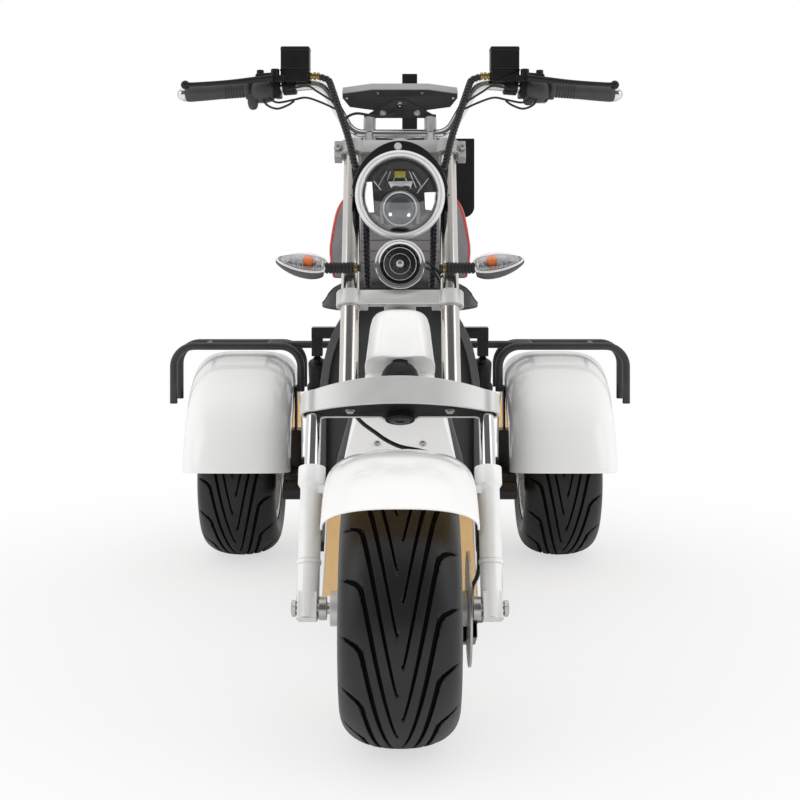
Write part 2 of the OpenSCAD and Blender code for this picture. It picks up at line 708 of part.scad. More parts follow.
module body_shell() {
  color([0.2, 0.2, 0.21]) difference() {
    intersection() {
      arch_prism(0, arch_y, arch_back);
      translate([-300, 0, 0]) rotate([90, 0, 90]) linear_extrude(600) polygon([[front_y + arch_y - 20, 0],
        [front_y + arch_y - 8, 900], [front_y + arch_y + 20, 900], [front_y + arch_y + 70, shelf_z],
        [front_y + arch_back + 6, shelf_z], [front_y + arch_back + 6, 0]]);
    }
    arch_prism(17, arch_y - 20, arch_y + 26);
    intersection() {
      arch_prism(8, arch_y + 34, arch_back - 8);
      block(at(-300, arch_y - 20, 0), at(300, arch_back - 8, shelf_z - 14));
    }
  }
}

module footboards() {
  color([0.12, 0.12, 0.12]) difference() {
    block(at(-deck_hw, 392, rail_top + seat_gap), at(deck_hw, arch_back, deck_z));
    hull() {
      translate(at(-112.3, 360, 420)) cube([224.6, 50.3, 8]);
      translate(at(-150.3, 370, 190)) cube([300.6, 54.3, 40]);
    }
  }
}

module battery() {
  color([0.15, 0.2, 0.3]) block(at(-130, arch_y + 70, deck_z + seat_gap), at(130, arch_back - 24, 560));
}

// saddle sections: length from the tip of the nose, share of the seat behind the nose, half width, bottom, top
nose_len = 107;
saddle_cuts = [[0, 0, 0.5, arch_top + 3, 776], [21, 0, 0.7, arch_top + seat_gap, 790],
  [94, 0, 0.95, arch_top + seat_gap, 796], [nose_len, 0, 1.0, shelf_z + seat_gap, 795],
  [nose_len, 0.29, 1.0, shelf_z + seat_gap, 778], [nose_len, 0.6, 0.98, shelf_z + seat_gap, 774],
  [nose_len, 0.87, 0.94, shelf_z + seat_gap, 778], [nose_len, 1, 0.84, shelf_z + seat_gap, 772]];
saddle_from = arch_y - 24;
saddle_to = arch_back + 20;
cut_nose = 0;
cut_share = 1;
cut_hw = 2;
cut_low = 3;
cut_high = 4;
function saddle_y(c) = saddle_from + c[cut_nose] + c[cut_share] * (saddle_to - saddle_from - nose_len);

module seat_cushion() {
  color([0.1, 0.1, 0.1]) skin([for (c = saddle_cuts) [for (q = oval(saddle_hw * c[cut_hw],
    (c[cut_high] - c[cut_low]) / 2, 2.6, 28)) at(q[0], saddle_y(c), (c[cut_high] + c[cut_low]) / 2 + q[1])]]);
}

// backrest sections: height, half width, middle behind the uprights, half thickness
back_cuts = [[758, 0.88, 26, 30], [775, 0.96, 28, 38], [833, 1.0, 40, 44], [870, 0.96, 48, 42],
  [905, 0.925, 56, 40], [940, 0.88, 64, 40], [970, 0.76, 70, 36], [988, 0.56, 74, 26]];
back_z = 0;
back_w = 1;
back_mid = 2;
back_t = 3;

module seat_back() {
  color([0.45, 0.44, 0.46]) skin([for (c = back_cuts)
    [for (q = reversed(oval(back_hw * c[back_w], c[back_t], 2.8, 28)))
      at(q[0], back_y + c[back_mid] + q[1], c[back_z])]]);
}

shock_x = 212;
shock_tilt = atan2(wheelbase - 46 - back_y - 24, 268);
module rear_subframe() {
  color([0.08, 0.08, 0.08]) {
    for (s = [-1, 1]) {
      block(at(s * rail_x - 16, back_y + seat_gap, sub_z), at(s * rail_x + 16, post_y - 18, sub_top));
      block(at(min(s * 100, s * (shock_x + 14)), back_y + 4, sub_z + 6),
        at(max(s * 100, s * (shock_x + 14)), back_y + 44, sub_top - 6));
      block(at(s * shock_x - 14, back_y + 9, sub_z - 40), at(s * shock_x + 14, back_y + 39, sub_z + 20));
      block(at(s * rail_x - 10, wheelbase - 54, rack_z + rack_r + seat_gap),
        at(s * rail_x + 10, wheelbase - 34, sub_z + 1));
    }
    block(at(-rail_x - 16, post_y - 38, sub_z), at(rail_x + 16, post_y - seat_gap, sub_top));
    block(at(-rail_x - 16, wheelbase - 90, sub_z), at(rail_x + 16, wheelbase - 60, sub_top));
    block(at(-40, back_y + 20, sub_z + 20), at(40, back_y + 44, back_cuts[0][back_z] - seat_gap));
    block(at(-rail_x - 16, back_y + 16, sub_z + 10), at(rail_x + 16, back_y + 50, sub_top));
  }
}

pivot_z = wheel_r - 13.5;
module swing_arm() {
  color([0.07, 0.07, 0.07]) difference() {
    union() {
      rod(at(-arm_x - arm_half, back_y + 30, pivot_z), at(arm_x + arm_half, back_y + 30, pivot_z), 24);
      for (s = [-1, 1]) {
        block(at(s * arm_x - arm_half, back_y + 30, wheel_r - 32.5),
          at(s * arm_x + arm_half, wheelbase + 40, wheel_r + 25.5));
        block(at(s * arm_x - arm_half, wheelbase - 106, wheel_r + 20),
          at(s * arm_x + arm_half, wheelbase - 54, wheel_r + 121.5));
        block(at(s * (stay_out - stay_t / 2) - stay_t / 2, wheelbase - 100, wheel_r + 110),
          at(s * (stay_out - stay_t / 2) + stay_t / 2, wheelbase - 60, wheel_r + 237.5));
        block(at(s * rail_x - 14, back_y + seat_gap, pivot_z - 25),
          at(s * rail_x + 14, back_y + 40, pivot_z + 25));
      }
    }
    rod(at(-400, wheelbase, wheel_r), at(400, wheelbase, wheel_r), 30 + seat_gap);
  }
}

module rear_axle() {
  color([0.3, 0.3, 0.31]) {
    rod(at(-arm_x - 23, wheelbase, wheel_r), at(arm_x + 23, wheelbase, wheel_r), 30);
    rod(at(-wheel_x - 78, wheelbase, wheel_r), at(wheel_x + 78, wheelbase, wheel_r), spindle_r);
    rod(at(-70, wheelbase, wheel_r), at(70, wheelbase, wheel_r), 92);
    rod(at(-110, wheelbase, wheel_r), at(110, wheelbase, wheel_r), 60);
    for (s = [-1, 1]) {
      translate(at(s * shock_x, wheelbase - 40, wheel_r + 33.5)) cube([24, 60, 60], center = true);
      rod(at(s * (wheel_x + 66), wheelbase, wheel_r), at(s * (wheel_x + 78), wheelbase, wheel_r), 19);
    }
  }
}

// shocks lean from the subframe's blocks to the axle's
shock_r = 10;
shock_top = at(shock_x, back_y + 24, sub_z - 40 - seat_gap - shock_r * sin(shock_tilt));
shock_low = at(shock_x, wheelbase - 46, wheel_r + 63.5 + seat_gap);
module rear_shocks() {
  d = unit(shock_low - shock_top);
  color([0.1, 0.1, 0.1]) both_sides() {
    rod(shock_top, shock_low - d * 40, shock_r);
    rod(shock_top + d * 16, shock_top + d * 96, 24);
    rod(shock_top + d * 96, shock_low - d * 46, 30);
    rod(shock_low - d * 46, shock_low - d * 20, 22);
  }
}

module rear_guard(x) {
  out = guard_line(rear_guard_hw, 214, rear_guard_r, 2.8, 18);
  ins = guard_line(rear_guard_hw - guard_t, 214, rear_guard_r - guard_t, 2.8, 18);
  color([0.93, 0.93, 0.92]) translate([x, rear_y, wheel_r]) rotate([0, 90, 0]) rotate([0, 0, 98])
    rotate_extrude(angle = 163.5) polygon(concat(out, reversed(ins)));
}

module rear_fender_left() { rear_guard(-guard_x); }
module rear_fender_right() { rear_guard(guard_x); }

hoop_y = [wheelbase - 94, wheelbase + 6];
tie_x = [rack_in + 88, rack_hw - 87];
module rear_rack() {
  color([0.14, 0.14, 0.15]) {
    both_sides() {
      for (y = hoop_y)
        bent_tube([at(rack_hw, y, rack_z - 152), at(rack_hw, y, rack_z), at(rack_in, y, rack_z),
          at(rack_in, y, rack_z - 120)], rack_r, 55);
      for (x = tie_x) rod(at(x, hoop_y[0], rack_z), at(x, hoop_y[1], rack_z), rack_r - 2);
    }
    rod(at(-tie_x[0] - 4, wheelbase - 44, rack_z), at(tie_x[0] + 4, wheelbase - 44, rack_z), rack_r);
  }
}

tray_z = 352;
module bag_post() {
  color([0.1, 0.1, 0.1]) difference() {
    block(at(post_x - post_w / 2, post_y, tray_z), at(post_x + post_w / 2, post_y + post_w, post_top));
    block(at(post_x - post_w / 2 + 3, post_y + 3, tray_z + 28),
      at(post_x + post_w / 2 - 3, post_y + post_w - 3, post_top + 1));
  }
}

module bag_rest() {
  color([0.12, 0.12, 0.12]) translate(at(post_x, post_y - seat_gap, 0)) rotate([90, 0, 0]) linear_extrude(8) {
    translate([-180, 945]) square([360, 190]);
    translate([-150, 915]) square([300, 40]);
    for (s = [-1, 1]) translate([s * 150, 945]) circle(r = 30);
  }
}

module bag_tray() {
  y0 = post_y + post_w + seat_gap;
  color([0.1, 0.1, 0.1]) difference() {
    block(at(post_x - 160, y0, tray_z), at(post_x + 160, y0 + tray_len, tray_z + 88));
    block(at(post_x - 154, y0 + 6, tray_z + 6), at(post_x + 154, y0 + tray_len - 6, tray_z + 98));
  }
}

module rear_calipers() {
  color([0.09, 0.09, 0.09]) both_sides() difference() {
    translate(at(arm_x + arm_half + seat_gap, wheelbase - 102, wheel_r + 21.5)) cube([29, 56, 70]);
    rod(at(wheel_x - 115.5, wheelbase, wheel_r), at(wheel_x - 101.1, wheelbase, wheel_r), rear_disc_r + 5.2);
    rod(at(0, wheelbase, wheel_r), at(400, wheelbase, wheel_r), 44);
  }
}

module tail_lamps() {
  color([0.6, 0.05, 0.05]) for (s = [-1, 1]) translate([s * guard_x, rear_y, wheel_r]) rotate([-58, 0, 0])
    translate([0, 0, rear_guard_r + seat_gap]) cylinder(r1 = 30, r2 = 26, h = 14);
}

frame();
body_shell();
footboards();
battery();
seat_cushion();
seat_back();
rear_subframe();
swing_arm();
rear_axle();
rear_shocks();
rear_fender_left();
rear_fender_right();
rear_rack();
bag_post();
bag_rest();
bag_tray();
rear_calipers();
tail_lamps();
lower_yoke();
yoke_core();
fork_tubes();
mid_clamp();
top_clamp();
riser_caps();
steering_stem();
stanchions();
sliders();
front_axle();
front_fender();
front_caliper();
headlight_shell();
headlight_ring();
headlight_lens();
headlight_bracket();
horn();
signal_stalks();
signal_shells();
signal_lenses();
handlebar();
grips();
brake_masters();
brake_levers();
switch_pods();
dash();
cables();
front_tyre();
front_rim();
front_disc();
left_tyre();
left_rim();
left_disc();
right_tyre();
right_rim();
right_disc();
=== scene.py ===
import json
import math

import bmesh
import bpy
import numpy as np
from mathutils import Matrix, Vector
from mathutils.bvhtree import BVHTree


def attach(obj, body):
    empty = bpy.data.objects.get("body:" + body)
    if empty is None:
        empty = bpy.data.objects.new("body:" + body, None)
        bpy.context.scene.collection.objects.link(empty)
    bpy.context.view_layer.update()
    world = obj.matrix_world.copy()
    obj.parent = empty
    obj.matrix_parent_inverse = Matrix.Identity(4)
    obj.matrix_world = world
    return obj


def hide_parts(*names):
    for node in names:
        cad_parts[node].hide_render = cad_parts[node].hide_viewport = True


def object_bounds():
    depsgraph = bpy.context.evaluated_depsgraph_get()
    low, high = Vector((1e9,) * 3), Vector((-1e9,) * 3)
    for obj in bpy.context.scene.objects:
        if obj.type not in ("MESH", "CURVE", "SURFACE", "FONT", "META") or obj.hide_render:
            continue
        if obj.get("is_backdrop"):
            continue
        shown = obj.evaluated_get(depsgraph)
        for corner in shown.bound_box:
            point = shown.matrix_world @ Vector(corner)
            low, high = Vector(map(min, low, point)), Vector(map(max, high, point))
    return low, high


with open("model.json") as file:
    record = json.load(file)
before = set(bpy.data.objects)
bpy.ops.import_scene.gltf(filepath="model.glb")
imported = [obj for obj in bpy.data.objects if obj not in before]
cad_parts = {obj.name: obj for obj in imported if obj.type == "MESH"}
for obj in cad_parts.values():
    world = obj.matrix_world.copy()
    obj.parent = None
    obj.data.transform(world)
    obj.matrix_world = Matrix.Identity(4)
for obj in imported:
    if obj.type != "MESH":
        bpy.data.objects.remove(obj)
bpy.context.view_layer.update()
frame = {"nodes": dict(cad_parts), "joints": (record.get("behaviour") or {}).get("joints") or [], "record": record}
nodes = frame["nodes"]
joints = {j["name"]: j for j in frame["joints"]}
frontAxle = np.array(joints["steering"]["pos_m"])
stemUp = np.array(joints["steering"]["axis"])
stemBack = np.array([0.0, stemUp[2], -stemUp[1]])
axisX, axisY, axisZ = np.eye(3)
leftHub = np.array(joints["rear_wheel_left_spin"]["pos_m"])
rightHub = np.array(joints["rear_wheel_right_spin"]["pos_m"])
mm = 0.001
offAxis = [0.31, 0.12, 0.94]  # a direction that no axis here has


# Places
def forkAt(x, y, z):  # millimetres in the fork's frame: right, behind the stem, up the stem
    x, y, z = (np.asarray(v, float)[..., None] * mm for v in np.broadcast_arrays(x, y, z))
    return frontAxle + x * axisX + y * stemBack + z * stemUp


def trikeAt(x, y, z):  # millimetres: right, behind the front axle, above the ground
    x, y, z = (np.asarray(v, float)[..., None] * mm for v in np.broadcast_arrays(x, y, z))
    return x * axisX + (frontAxle[1] + y) * axisY + z * axisZ


# Shapes and their helpers: a shape is points (n, 3) and quads (m, 4)
def gridFaces(rows, cols, wrapRows=False, wrapCols=False):
    r, c = np.meshgrid(np.arange(rows - (not wrapRows)), np.arange(cols - (not wrapCols)), indexing="ij")
    r2, c2 = (r + 1) % rows, (c + 1) % cols
    return np.stack([r * cols + c, r * cols + c2, r2 * cols + c2, r2 * cols + c], -1).reshape(-1, 4)


def signedPower(v, p):
    return np.sign(v) * np.abs(v) ** p


def unit(v):
    v = np.asarray(v, float)
    return v / np.linalg.norm(v, axis=-1, keepdims=True)


def filleted(points, radius, steps=4):  # open outline, each inner corner made a quadratic curve
    p = np.asarray(points, float)
    back, ahead = p[:-2] - p[1:-1], p[2:] - p[1:-1]
    lb, la = np.linalg.norm(back, axis=1), np.linalg.norm(ahead, axis=1)
    cut = np.minimum(radius, 0.45 * np.minimum(lb, la))[:, None]
    start, stop = p[1:-1] + unit(back) * cut, p[1:-1] + unit(ahead) * cut
    t = np.linspace(0, 1, steps + 1)[None, :, None]
    curve = start[:, None] * (1 - t) ** 2 + p[1:-1, None] * 2 * t * (1 - t) + stop[:, None] * t ** 2
    return np.concatenate([p[:1], curve.reshape(-1, p.shape[1]), p[-1:]])


def circleAbout(axis, sides):  # unit circle square to an axis
    turn = np.arange(sides) * 2 * math.pi / sides
    across = unit(np.cross(axis, offAxis))
    return np.cos(turn)[:, None] * across + np.sin(turn)[:, None] * np.cross(axis, across)


def lathe(profile, origin, axis, sides=48):  # [radius, height] in mm turned about an axis
    profile = np.asarray(profile, float) * mm
    axis = unit(axis)
    ring = circleAbout(axis, sides)
    points = origin + ring[:, None] * profile[None, :, :1] + axis * profile[None, :, 1:]
    return points.reshape(-1, 3), gridFaces(sides, len(profile), wrapRows=True)


def drum(at, axis, radius, height, sides=28, start=0):  # plain disc or short rod
    return lathe([(0, start), (radius, start), (radius, height), (0, height)], at, axis, sides)


def smoothed(values, width=7):  # mean over a few neighbours
    return np.convolve(np.pad(values, width // 2, mode="edge"), np.ones(width) / width, "valid")


def fromTable(value, table):  # value looked up between the rows of a table
    return np.interp(value, *np.array(table, float).T)


def ballLine(radius):  # profile of a ball
    halfTurn = np.linspace(0, math.pi, 17)
    return np.column_stack([radius * np.sin(halfTurn), -radius * np.cos(halfTurn)])


def smoothPath(points, count):  # Catmull-Rom curve through the points, evenly spaced
    p = np.asarray(points, float)
    q = np.concatenate([2 * p[:1] - p[1:2], p, 2 * p[-1:] - p[-2:-1]])
    t = np.linspace(0, 1, 24, endpoint=False)[None, :, None]
    a, b, c, d = (q[i:len(q) - 3 + i, None] for i in range(4))
    curve = 0.5 * (2 * b + (c - a) * t + (2 * a - 5 * b + 4 * c - d) * t ** 2 + (3 * b - a - 3 * c + d) * t ** 3)
    curve = np.concatenate([curve.reshape(-1, 3), p[-1:]])
    run = np.concatenate([[0], np.cumsum(np.linalg.norm(np.diff(curve, axis=0), axis=1))])
    even = np.linspace(0, run[-1], count)
    return np.stack([np.interp(even, run, curve[:, k]) for k in range(3)], 1)


def pathFrames(path):  # directions carried along a path without twist
    along = unit(np.gradient(path, axis=0))
    side = unit(np.cross(along[0], [0.29, 0.83, 0.47]))
    sides = []
    for d in along:
        side = unit(side - d * np.dot(side, d))
        sides.append(side)
    sides = np.array(sides)
    return along, sides, np.cross(along, sides)


def tube(path, radius, sides=16, relief=None):  # circle carried along a path in metres, ends closed
    along, first, second = pathFrames(path)
    radius = np.broadcast_to(np.asarray(radius, float) * mm, (len(path),))
    turn = np.arange(sides) * 2 * math.pi / sides
    r = radius[:, None] * np.ones(sides) if relief is None else relief(radius[:, None], turn[None])
    ring = np.cos(turn)[None, :, None] * first[:, None] + np.sin(turn)[None, :, None] * second[:, None]
    body = path[:, None] + ring * r[..., None]
    rounding, bulge = [0.0, 0.6, 0.9], 0.25  # rings of a closed end, and how far it stands out in radii
    head = [path[0] - along[0] * radius[0] * bulge * (1 - k) + ring[0] * r[0][:, None] * k for k in rounding]
    tail = [path[-1] + along[-1] * radius[-1] * bulge * (1 - k) + ring[-1] * r[-1][:, None] * k
            for k in reversed(rounding)]
    points = np.concatenate([np.array(head), body, np.array(tail)])
    return points.reshape(-1, 3), gridFaces(len(points), sides, wrapCols=True)


def roundedBox(centre, half, radius, axes=np.eye(3), steps=4):
    # corner ball moved to the box's corners: sign * (half - radius) + radius * direction
    quarter = np.linspace(0, math.pi / 2, steps)
    lon = np.concatenate([quarter + k * math.pi / 2 for k in range(4)])
    signX = np.repeat([1, -1, -1, 1], steps)
    signY = np.repeat([1, 1, -1, -1], steps)
    lat = np.concatenate([quarter - math.pi / 2, quarter])
    signZ = np.repeat([-1, 1], steps)
    half, radius = np.asarray(half, float) * mm, radius * mm
    core = half - radius
    x = signX * core[0] + radius * np.cos(lat)[:, None] * np.cos(lon)
    y = signY * core[1] + radius * np.cos(lat)[:, None] * np.sin(lon)
    z = np.broadcast_to((signZ * core[2] + radius * np.sin(lat))[:, None], x.shape)
    rows = np.stack([x, y, z], -1)
    cap = np.zeros((1, rows.shape[1], 3))
    rows = np.concatenate([cap - [0, 0, half[2]], rows, cap + [0, 0, half[2]]])
    grid = centre + rows @ np.asarray(axes)
    return grid.reshape(-1, 3), gridFaces(len(rows), rows.shape[1], wrapCols=True)


def slab(outline, origin, across, up, thickness, edge, steps=3):
    # closed outline in mm given a thickness along across x up, its rim rounded by a quarter circle on each face
    p = np.asarray(outline, float)
    tangent = unit(np.roll(p, -1, 0) - np.roll(p, 1, 0))
    outward = np.stack([tangent[:, 1], -tangent[:, 0]], 1)
    area = np.sum(p[:, 0] * np.roll(p[:, 1], -1) - np.roll(p[:, 0], -1) * p[:, 1])
    outward *= np.sign(area)
    bow = np.linspace(0, math.pi / 2, steps)
    low = [(-edge * (1 - math.sin(b)), -thickness / 2 + edge * (1 - math.cos(b))) for b in bow]
    rim = low + [(o, -h) for o, h in reversed(low)]
    loops = [np.column_stack([p + outward * o, np.full(len(p), h)]) for o, h in rim]
    middle = np.mean(p, 0)
    caps = [np.tile([*middle, s * thickness / 2], (len(p), 1)) for s in (-1, 1)]
    rows = np.stack([caps[0], *loops, caps[1]]) * mm
    across, up = unit(across), unit(up)
    basis = np.stack([across, up, np.cross(across, up)])
    return (origin + rows @ basis).reshape(-1, 3), gridFaces(len(rows), len(p), wrapCols=True)


def roundedOutline(points, radius, steps=5):  # closed outline with its corners filleted
    p = np.asarray(points, float)
    return filleted(np.concatenate([p[-1:], p, p[:1]]), radius, steps)[1:-1]


def screwHead(at, axis, radius, height, hexHead=False):
    # turned head with a six-sided recess, or a six-sided head with a chamfered top
    sides = 24
    turn = np.arange(sides) * 2 * math.pi / sides
    flat = math.cos(math.pi / 6) / np.cos((turn + math.pi / 6) % (math.pi / 3) - math.pi / 6)
    ones = np.ones(sides)
    if hexHead:
        rows = [(0 * ones, 0), (flat, 0), (flat, 0.85), (0.9 * ones, 1.0), (0.45 * ones, 1.0), (0 * ones, 1.08)]
    else:
        rows = [(0 * ones, 0), (ones, 0), (ones, 0.75), (0.86 * ones, 1), (0.6 * ones, 1),
                (0.52 * flat, 0.98), (0.52 * flat, 0.5), (0 * ones, 0.5)]
    axis = unit(axis)
    ring = circleAbout(axis, sides)
    grid = np.array([at + ring * (r * radius * mm)[:, None] + axis * h * height * mm for r, h in rows])
    return grid.reshape(-1, 3), gridFaces(len(rows), sides, wrapCols=True)


def mirrored(part):
    points, quads = part
    return points * [-1, 1, 1], quads[:, ::-1]


def bothSides(parts):
    return parts + [mirrored(p) for p in parts]


# Pieces
def cleaned(mesh, closed=True):  # doubles merged, slivers dissolved, a closed form's normals turned outward
    work = bmesh.new()
    work.from_mesh(mesh)
    bmesh.ops.remove_doubles(work, verts=work.verts, dist=2e-6)
    bmesh.ops.dissolve_degenerate(work, edges=work.edges, dist=1e-6)
    if closed:
        bmesh.ops.recalc_face_normals(work, faces=work.faces)
    work.to_mesh(mesh)
    work.free()


def smoothShaded(mesh):
    mesh.polygons.foreach_set("use_smooth", np.ones(len(mesh.polygons), bool))


def linked(name, mesh):
    piece = bpy.data.objects.new(name, mesh)
    bpy.context.scene.collection.objects.link(piece)
    return piece


def bevelled(piece, name, width, bend):  # edges sharper than the bend angle rounded
    rim = piece.modifiers.new(name, "BEVEL")
    rim.width = width * mm
    rim.segments = 2
    rim.limit_method = "ANGLE"
    rim.angle_limit = math.radians(bend)
    return rim


def addPiece(name, parts, body, look, replaced=(), sharp=38, closed=True):
    points = np.concatenate([p for p, q in parts])
    starts = np.cumsum([0] + [len(p) for p, q in parts[:-1]])
    quads = np.concatenate([q + s for (p, q), s in zip(parts, starts)])
    mesh = bpy.data.meshes.new(name)
    mesh.vertices.add(len(points))
    mesh.vertices.foreach_set("co", points.astype(np.float32).ravel())
    mesh.loops.add(quads.size)
    mesh.loops.foreach_set("vertex_index", quads.astype(np.int32).ravel())
    mesh.polygons.add(len(quads))
    mesh.polygons.foreach_set("loop_start", np.arange(0, quads.size, 4, dtype=np.int32))
    for item in look if isinstance(look, list) else [look]:
        mesh.materials.append(item)
    mesh.update(calc_edges=True)
    cleaned(mesh, closed)
    smoothShaded(mesh)
    mesh.set_sharp_from_angle(angle=math.radians(sharp))
    piece = linked(name, mesh)
    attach(piece, body)
    if replaced:
        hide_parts(*replaced)
    return piece


# Finishes
def setInputs(node, values):  # underscores stand for spaces
    for key, value in values.items():
        node.inputs[key.replace("_", " ")].default_value = value


def addNode(tree, kind, **values):
    node = tree.nodes.new("ShaderNode" + kind)
    setInputs(node, values)
    return node


def join(tree, source, output, target, socket):
    tree.links.new(source.outputs[output], target.inputs[socket])


def makeFinish(name, colour, rough, metal=0.0, mottle=(8.0, 0.06), grain=(400.0, 0.05), roughSpread=0.08, **sockets):
    # base colour and roughness follow one slow noise, the surface a fine one
    look = bpy.data.materials.new(name)
    look.use_nodes = True
    tree = look.node_tree
    shader = tree.nodes["Principled BSDF"]
    place = addNode(tree, "TexCoord")
    slow = addNode(tree, "TexNoise", Scale=mottle[0], Detail=5)
    ramp = addNode(tree, "ValToRGB")
    for element, at, k in zip(ramp.color_ramp.elements, (0.3, 0.7), (1 - mottle[1], 1 + mottle[1])):
        element.position = at
        element.color = (*[min(1.0, c * k) for c in colour], 1)
    spread = addNode(tree, "MapRange", To_Min=max(0.0, rough - roughSpread), To_Max=min(1.0, rough + roughSpread))
    fine = addNode(tree, "TexNoise", Scale=grain[0], Detail=3)
    bump = addNode(tree, "Bump", Strength=grain[1], Distance=0.001)
    join(tree, place, "Object", slow, "Vector")
    join(tree, slow, "Fac", ramp, "Fac")
    join(tree, ramp, "Color", shader, "Base Color")
    join(tree, slow, "Fac", spread, "Value")
    join(tree, spread, "Result", shader, "Roughness")
    join(tree, place, "Object", fine, "Vector")
    join(tree, fine, "Fac", bump, "Height")
    join(tree, bump, "Normal", shader, "Normal")
    setInputs(shader, {"Metallic": metal, **sockets})
    return look


def leatherFinish(name, colour, rough, cell):
    # creased cells: a bump from the distance to the nearest cell edge
    look = makeFinish(name, colour, rough, mottle=(14.0, 0.12), grain=(900.0, 0.1))
    tree = look.node_tree
    place, bump = (next(n for n in tree.nodes if n.type == kind) for kind in ("TEX_COORD", "BUMP"))
    cells = addNode(tree, "TexVoronoi", Scale=cell)
    cells.feature = "DISTANCE_TO_EDGE"
    crease = addNode(tree, "MapRange", From_Max=0.12)
    second = addNode(tree, "Bump", Strength=0.25, Distance=0.0006)
    join(tree, place, "Object", cells, "Vector")
    join(tree, cells, "Distance", crease, "Value")
    join(tree, crease, "Result", second, "Height")
    join(tree, bump, "Normal", second, "Normal")
    join(tree, second, "Normal", tree.nodes["Principled BSDF"], "Normal")
    return look


whitePaint = makeFinish("white paint", (0.91, 0.905, 0.895), 0.16, mottle=(3, 0.012), grain=(90, 0.012),
                        roughSpread=0.04, Coat_Weight=0.6, Coat_Roughness=0.04)
# Painted light: the tan is set lighter than the moulding's own and given a glow, to lift the inside of the guard
# where it lies in shade
guardInsidePaintedGlow = makeFinish("tan inside painted glow", (0.95, 0.72, 0.40), 0.55, mottle=(25, 0.08), grain=(220, 0.12),
                         Emission_Color=(1, 0.70, 0.36, 1), Emission_Strength=0.3)  # painted glow: the moulding does not glow, this lifts the shaded inside
satinSilver = makeFinish("satin silver", (0.68, 0.68, 0.67), 0.36, metal=0.5, mottle=(30, 0.03),
                         grain=(700, 0.03))
castSilver = makeFinish("cast silver", (0.52, 0.52, 0.515), 0.4, metal=0.6, mottle=(30, 0.05), grain=(500, 0.06))
sliderSilver = makeFinish("slider silver", (0.86, 0.86, 0.855), 0.36, metal=0.15, mottle=(20, 0.03),
                          grain=(500, 0.03))
brushedSilver = makeFinish("brushed silver", (0.74, 0.71, 0.675), 0.14, metal=1.0, mottle=(6, 0.03),
                           grain=(40, 0.004), roughSpread=0.03)
chrome = makeFinish("chrome", (0.80, 0.80, 0.80), 0.08, metal=1.0, mottle=(12, 0.02), grain=(300, 0.01),
                    roughSpread=0.04)
steel = makeFinish("steel", (0.56, 0.55, 0.53), 0.3, metal=1.0, mottle=(40, 0.08), grain=(600, 0.06))
brass = makeFinish("brass", (0.40, 0.28, 0.10), 0.34, metal=1.0, mottle=(60, 0.1), grain=(800, 0.05))
blackPaint = makeFinish("black paint", (0.010, 0.010, 0.011), 0.32, mottle=(20, 0.2), grain=(260, 0.06),
                        Specular_IOR_Level=0.35)
charcoalPaint = makeFinish("charcoal paint", (0.030, 0.031, 0.034), 0.36, mottle=(18, 0.15), grain=(330, 0.08))
greyPlastic = makeFinish("grey plastic", (0.072, 0.073, 0.076), 0.42, mottle=(16, 0.12), grain=(900, 0.12))
blackPlastic = makeFinish("black plastic", (0.008, 0.008, 0.009), 0.4, mottle=(30, 0.2), grain=(800, 0.1),
                          Specular_IOR_Level=0.3)
glossBlack = makeFinish("gloss black", (0.010, 0.010, 0.011), 0.14, mottle=(10, 0.1), grain=(120, 0.01),
                        roughSpread=0.04)
deepBlack = makeFinish("deep black", (0.005, 0.005, 0.005), 0.6, mottle=(20, 0.2), grain=(300, 0.1),
                       Specular_IOR_Level=0.15)
dashPlastic = makeFinish("dash plastic", (0.020, 0.020, 0.022), 0.4, mottle=(30, 0.15), grain=(800, 0.1))
gripRubber = makeFinish("grip rubber", (0.044, 0.044, 0.046), 0.5, mottle=(30, 0.15), grain=(700, 0.2))
beamGrey = makeFinish("beam grey", (0.085, 0.086, 0.09), 0.4, mottle=(20, 0.1), grain=(700, 0.1))
loomBlack = makeFinish("loom black", (0.012, 0.012, 0.013), 0.24, mottle=(30, 0.2), grain=(700, 0.05))
rubber = makeFinish("rubber", (0.016, 0.016, 0.016), 0.55, mottle=(30, 0.15), grain=(700, 0.15))
tyreRubber = makeFinish("tyre rubber", (0.008, 0.008, 0.0085), 0.4, mottle=(14, 0.25), grain=(900, 0.12),
                        roughSpread=0.12, Specular_IOR_Level=0.45)
# Painted shade for the floors of the tyre grooves
grooveShadeBlack = makeFinish("groove painted shade", (0.002, 0.002, 0.002), 0.75, mottle=(14, 0.2), grain=(900, 0.1),
                         Specular_IOR_Level=0.1)
saddleLeather = leatherFinish("saddle leather", (0.018, 0.018, 0.019), 0.46, 420)
backLeather = leatherFinish("back leather", (0.175, 0.168, 0.18), 0.4, 420)
seamThread = makeFinish("seam thread", (0.16, 0.05, 0.055), 0.5, mottle=(90, 0.2), grain=(900, 0.3))
redPiping = makeFinish("red piping", (0.62, 0.03, 0.025), 0.42, mottle=(60, 0.1), grain=(900, 0.2))
batteryCase = makeFinish("battery case", (0.03, 0.04, 0.06), 0.5)
clearLens = makeFinish("clear lens", (0.95, 0.96, 0.97), 0.04, metal=1.0, mottle=(5, 0.01), grain=(40, 0.0),
                       roughSpread=0.02, Alpha=0.09)
ringSilver = makeFinish("ring silver", (0.80, 0.80, 0.80), 0.3, metal=0.55, mottle=(20, 0.02), grain=(600, 0.02))
stripGrey = makeFinish("strip grey", (0.30, 0.30, 0.31), 0.4, mottle=(40, 0.05), grain=(700, 0.08))
smokeGrey = makeFinish("smoke grey", (0.16, 0.16, 0.165), 0.25, mottle=(60, 0.15), grain=(300, 0.05))
ledYellow = makeFinish("led yellow", (0.36, 0.32, 0.03), 0.3, mottle=(200, 0.3), grain=(400, 0.2))
# The day lamps glow as lamps; the same glow also makes the headlight's glints, painted highlights
dayLampAndGlintWhite = makeFinish("day lamp and glint white", (0.9, 0.9, 0.9), 0.3, mottle=(20, 0.02), grain=(200, 0.02),
                      Emission_Color=(1, 1, 1, 1), Emission_Strength=0.55)
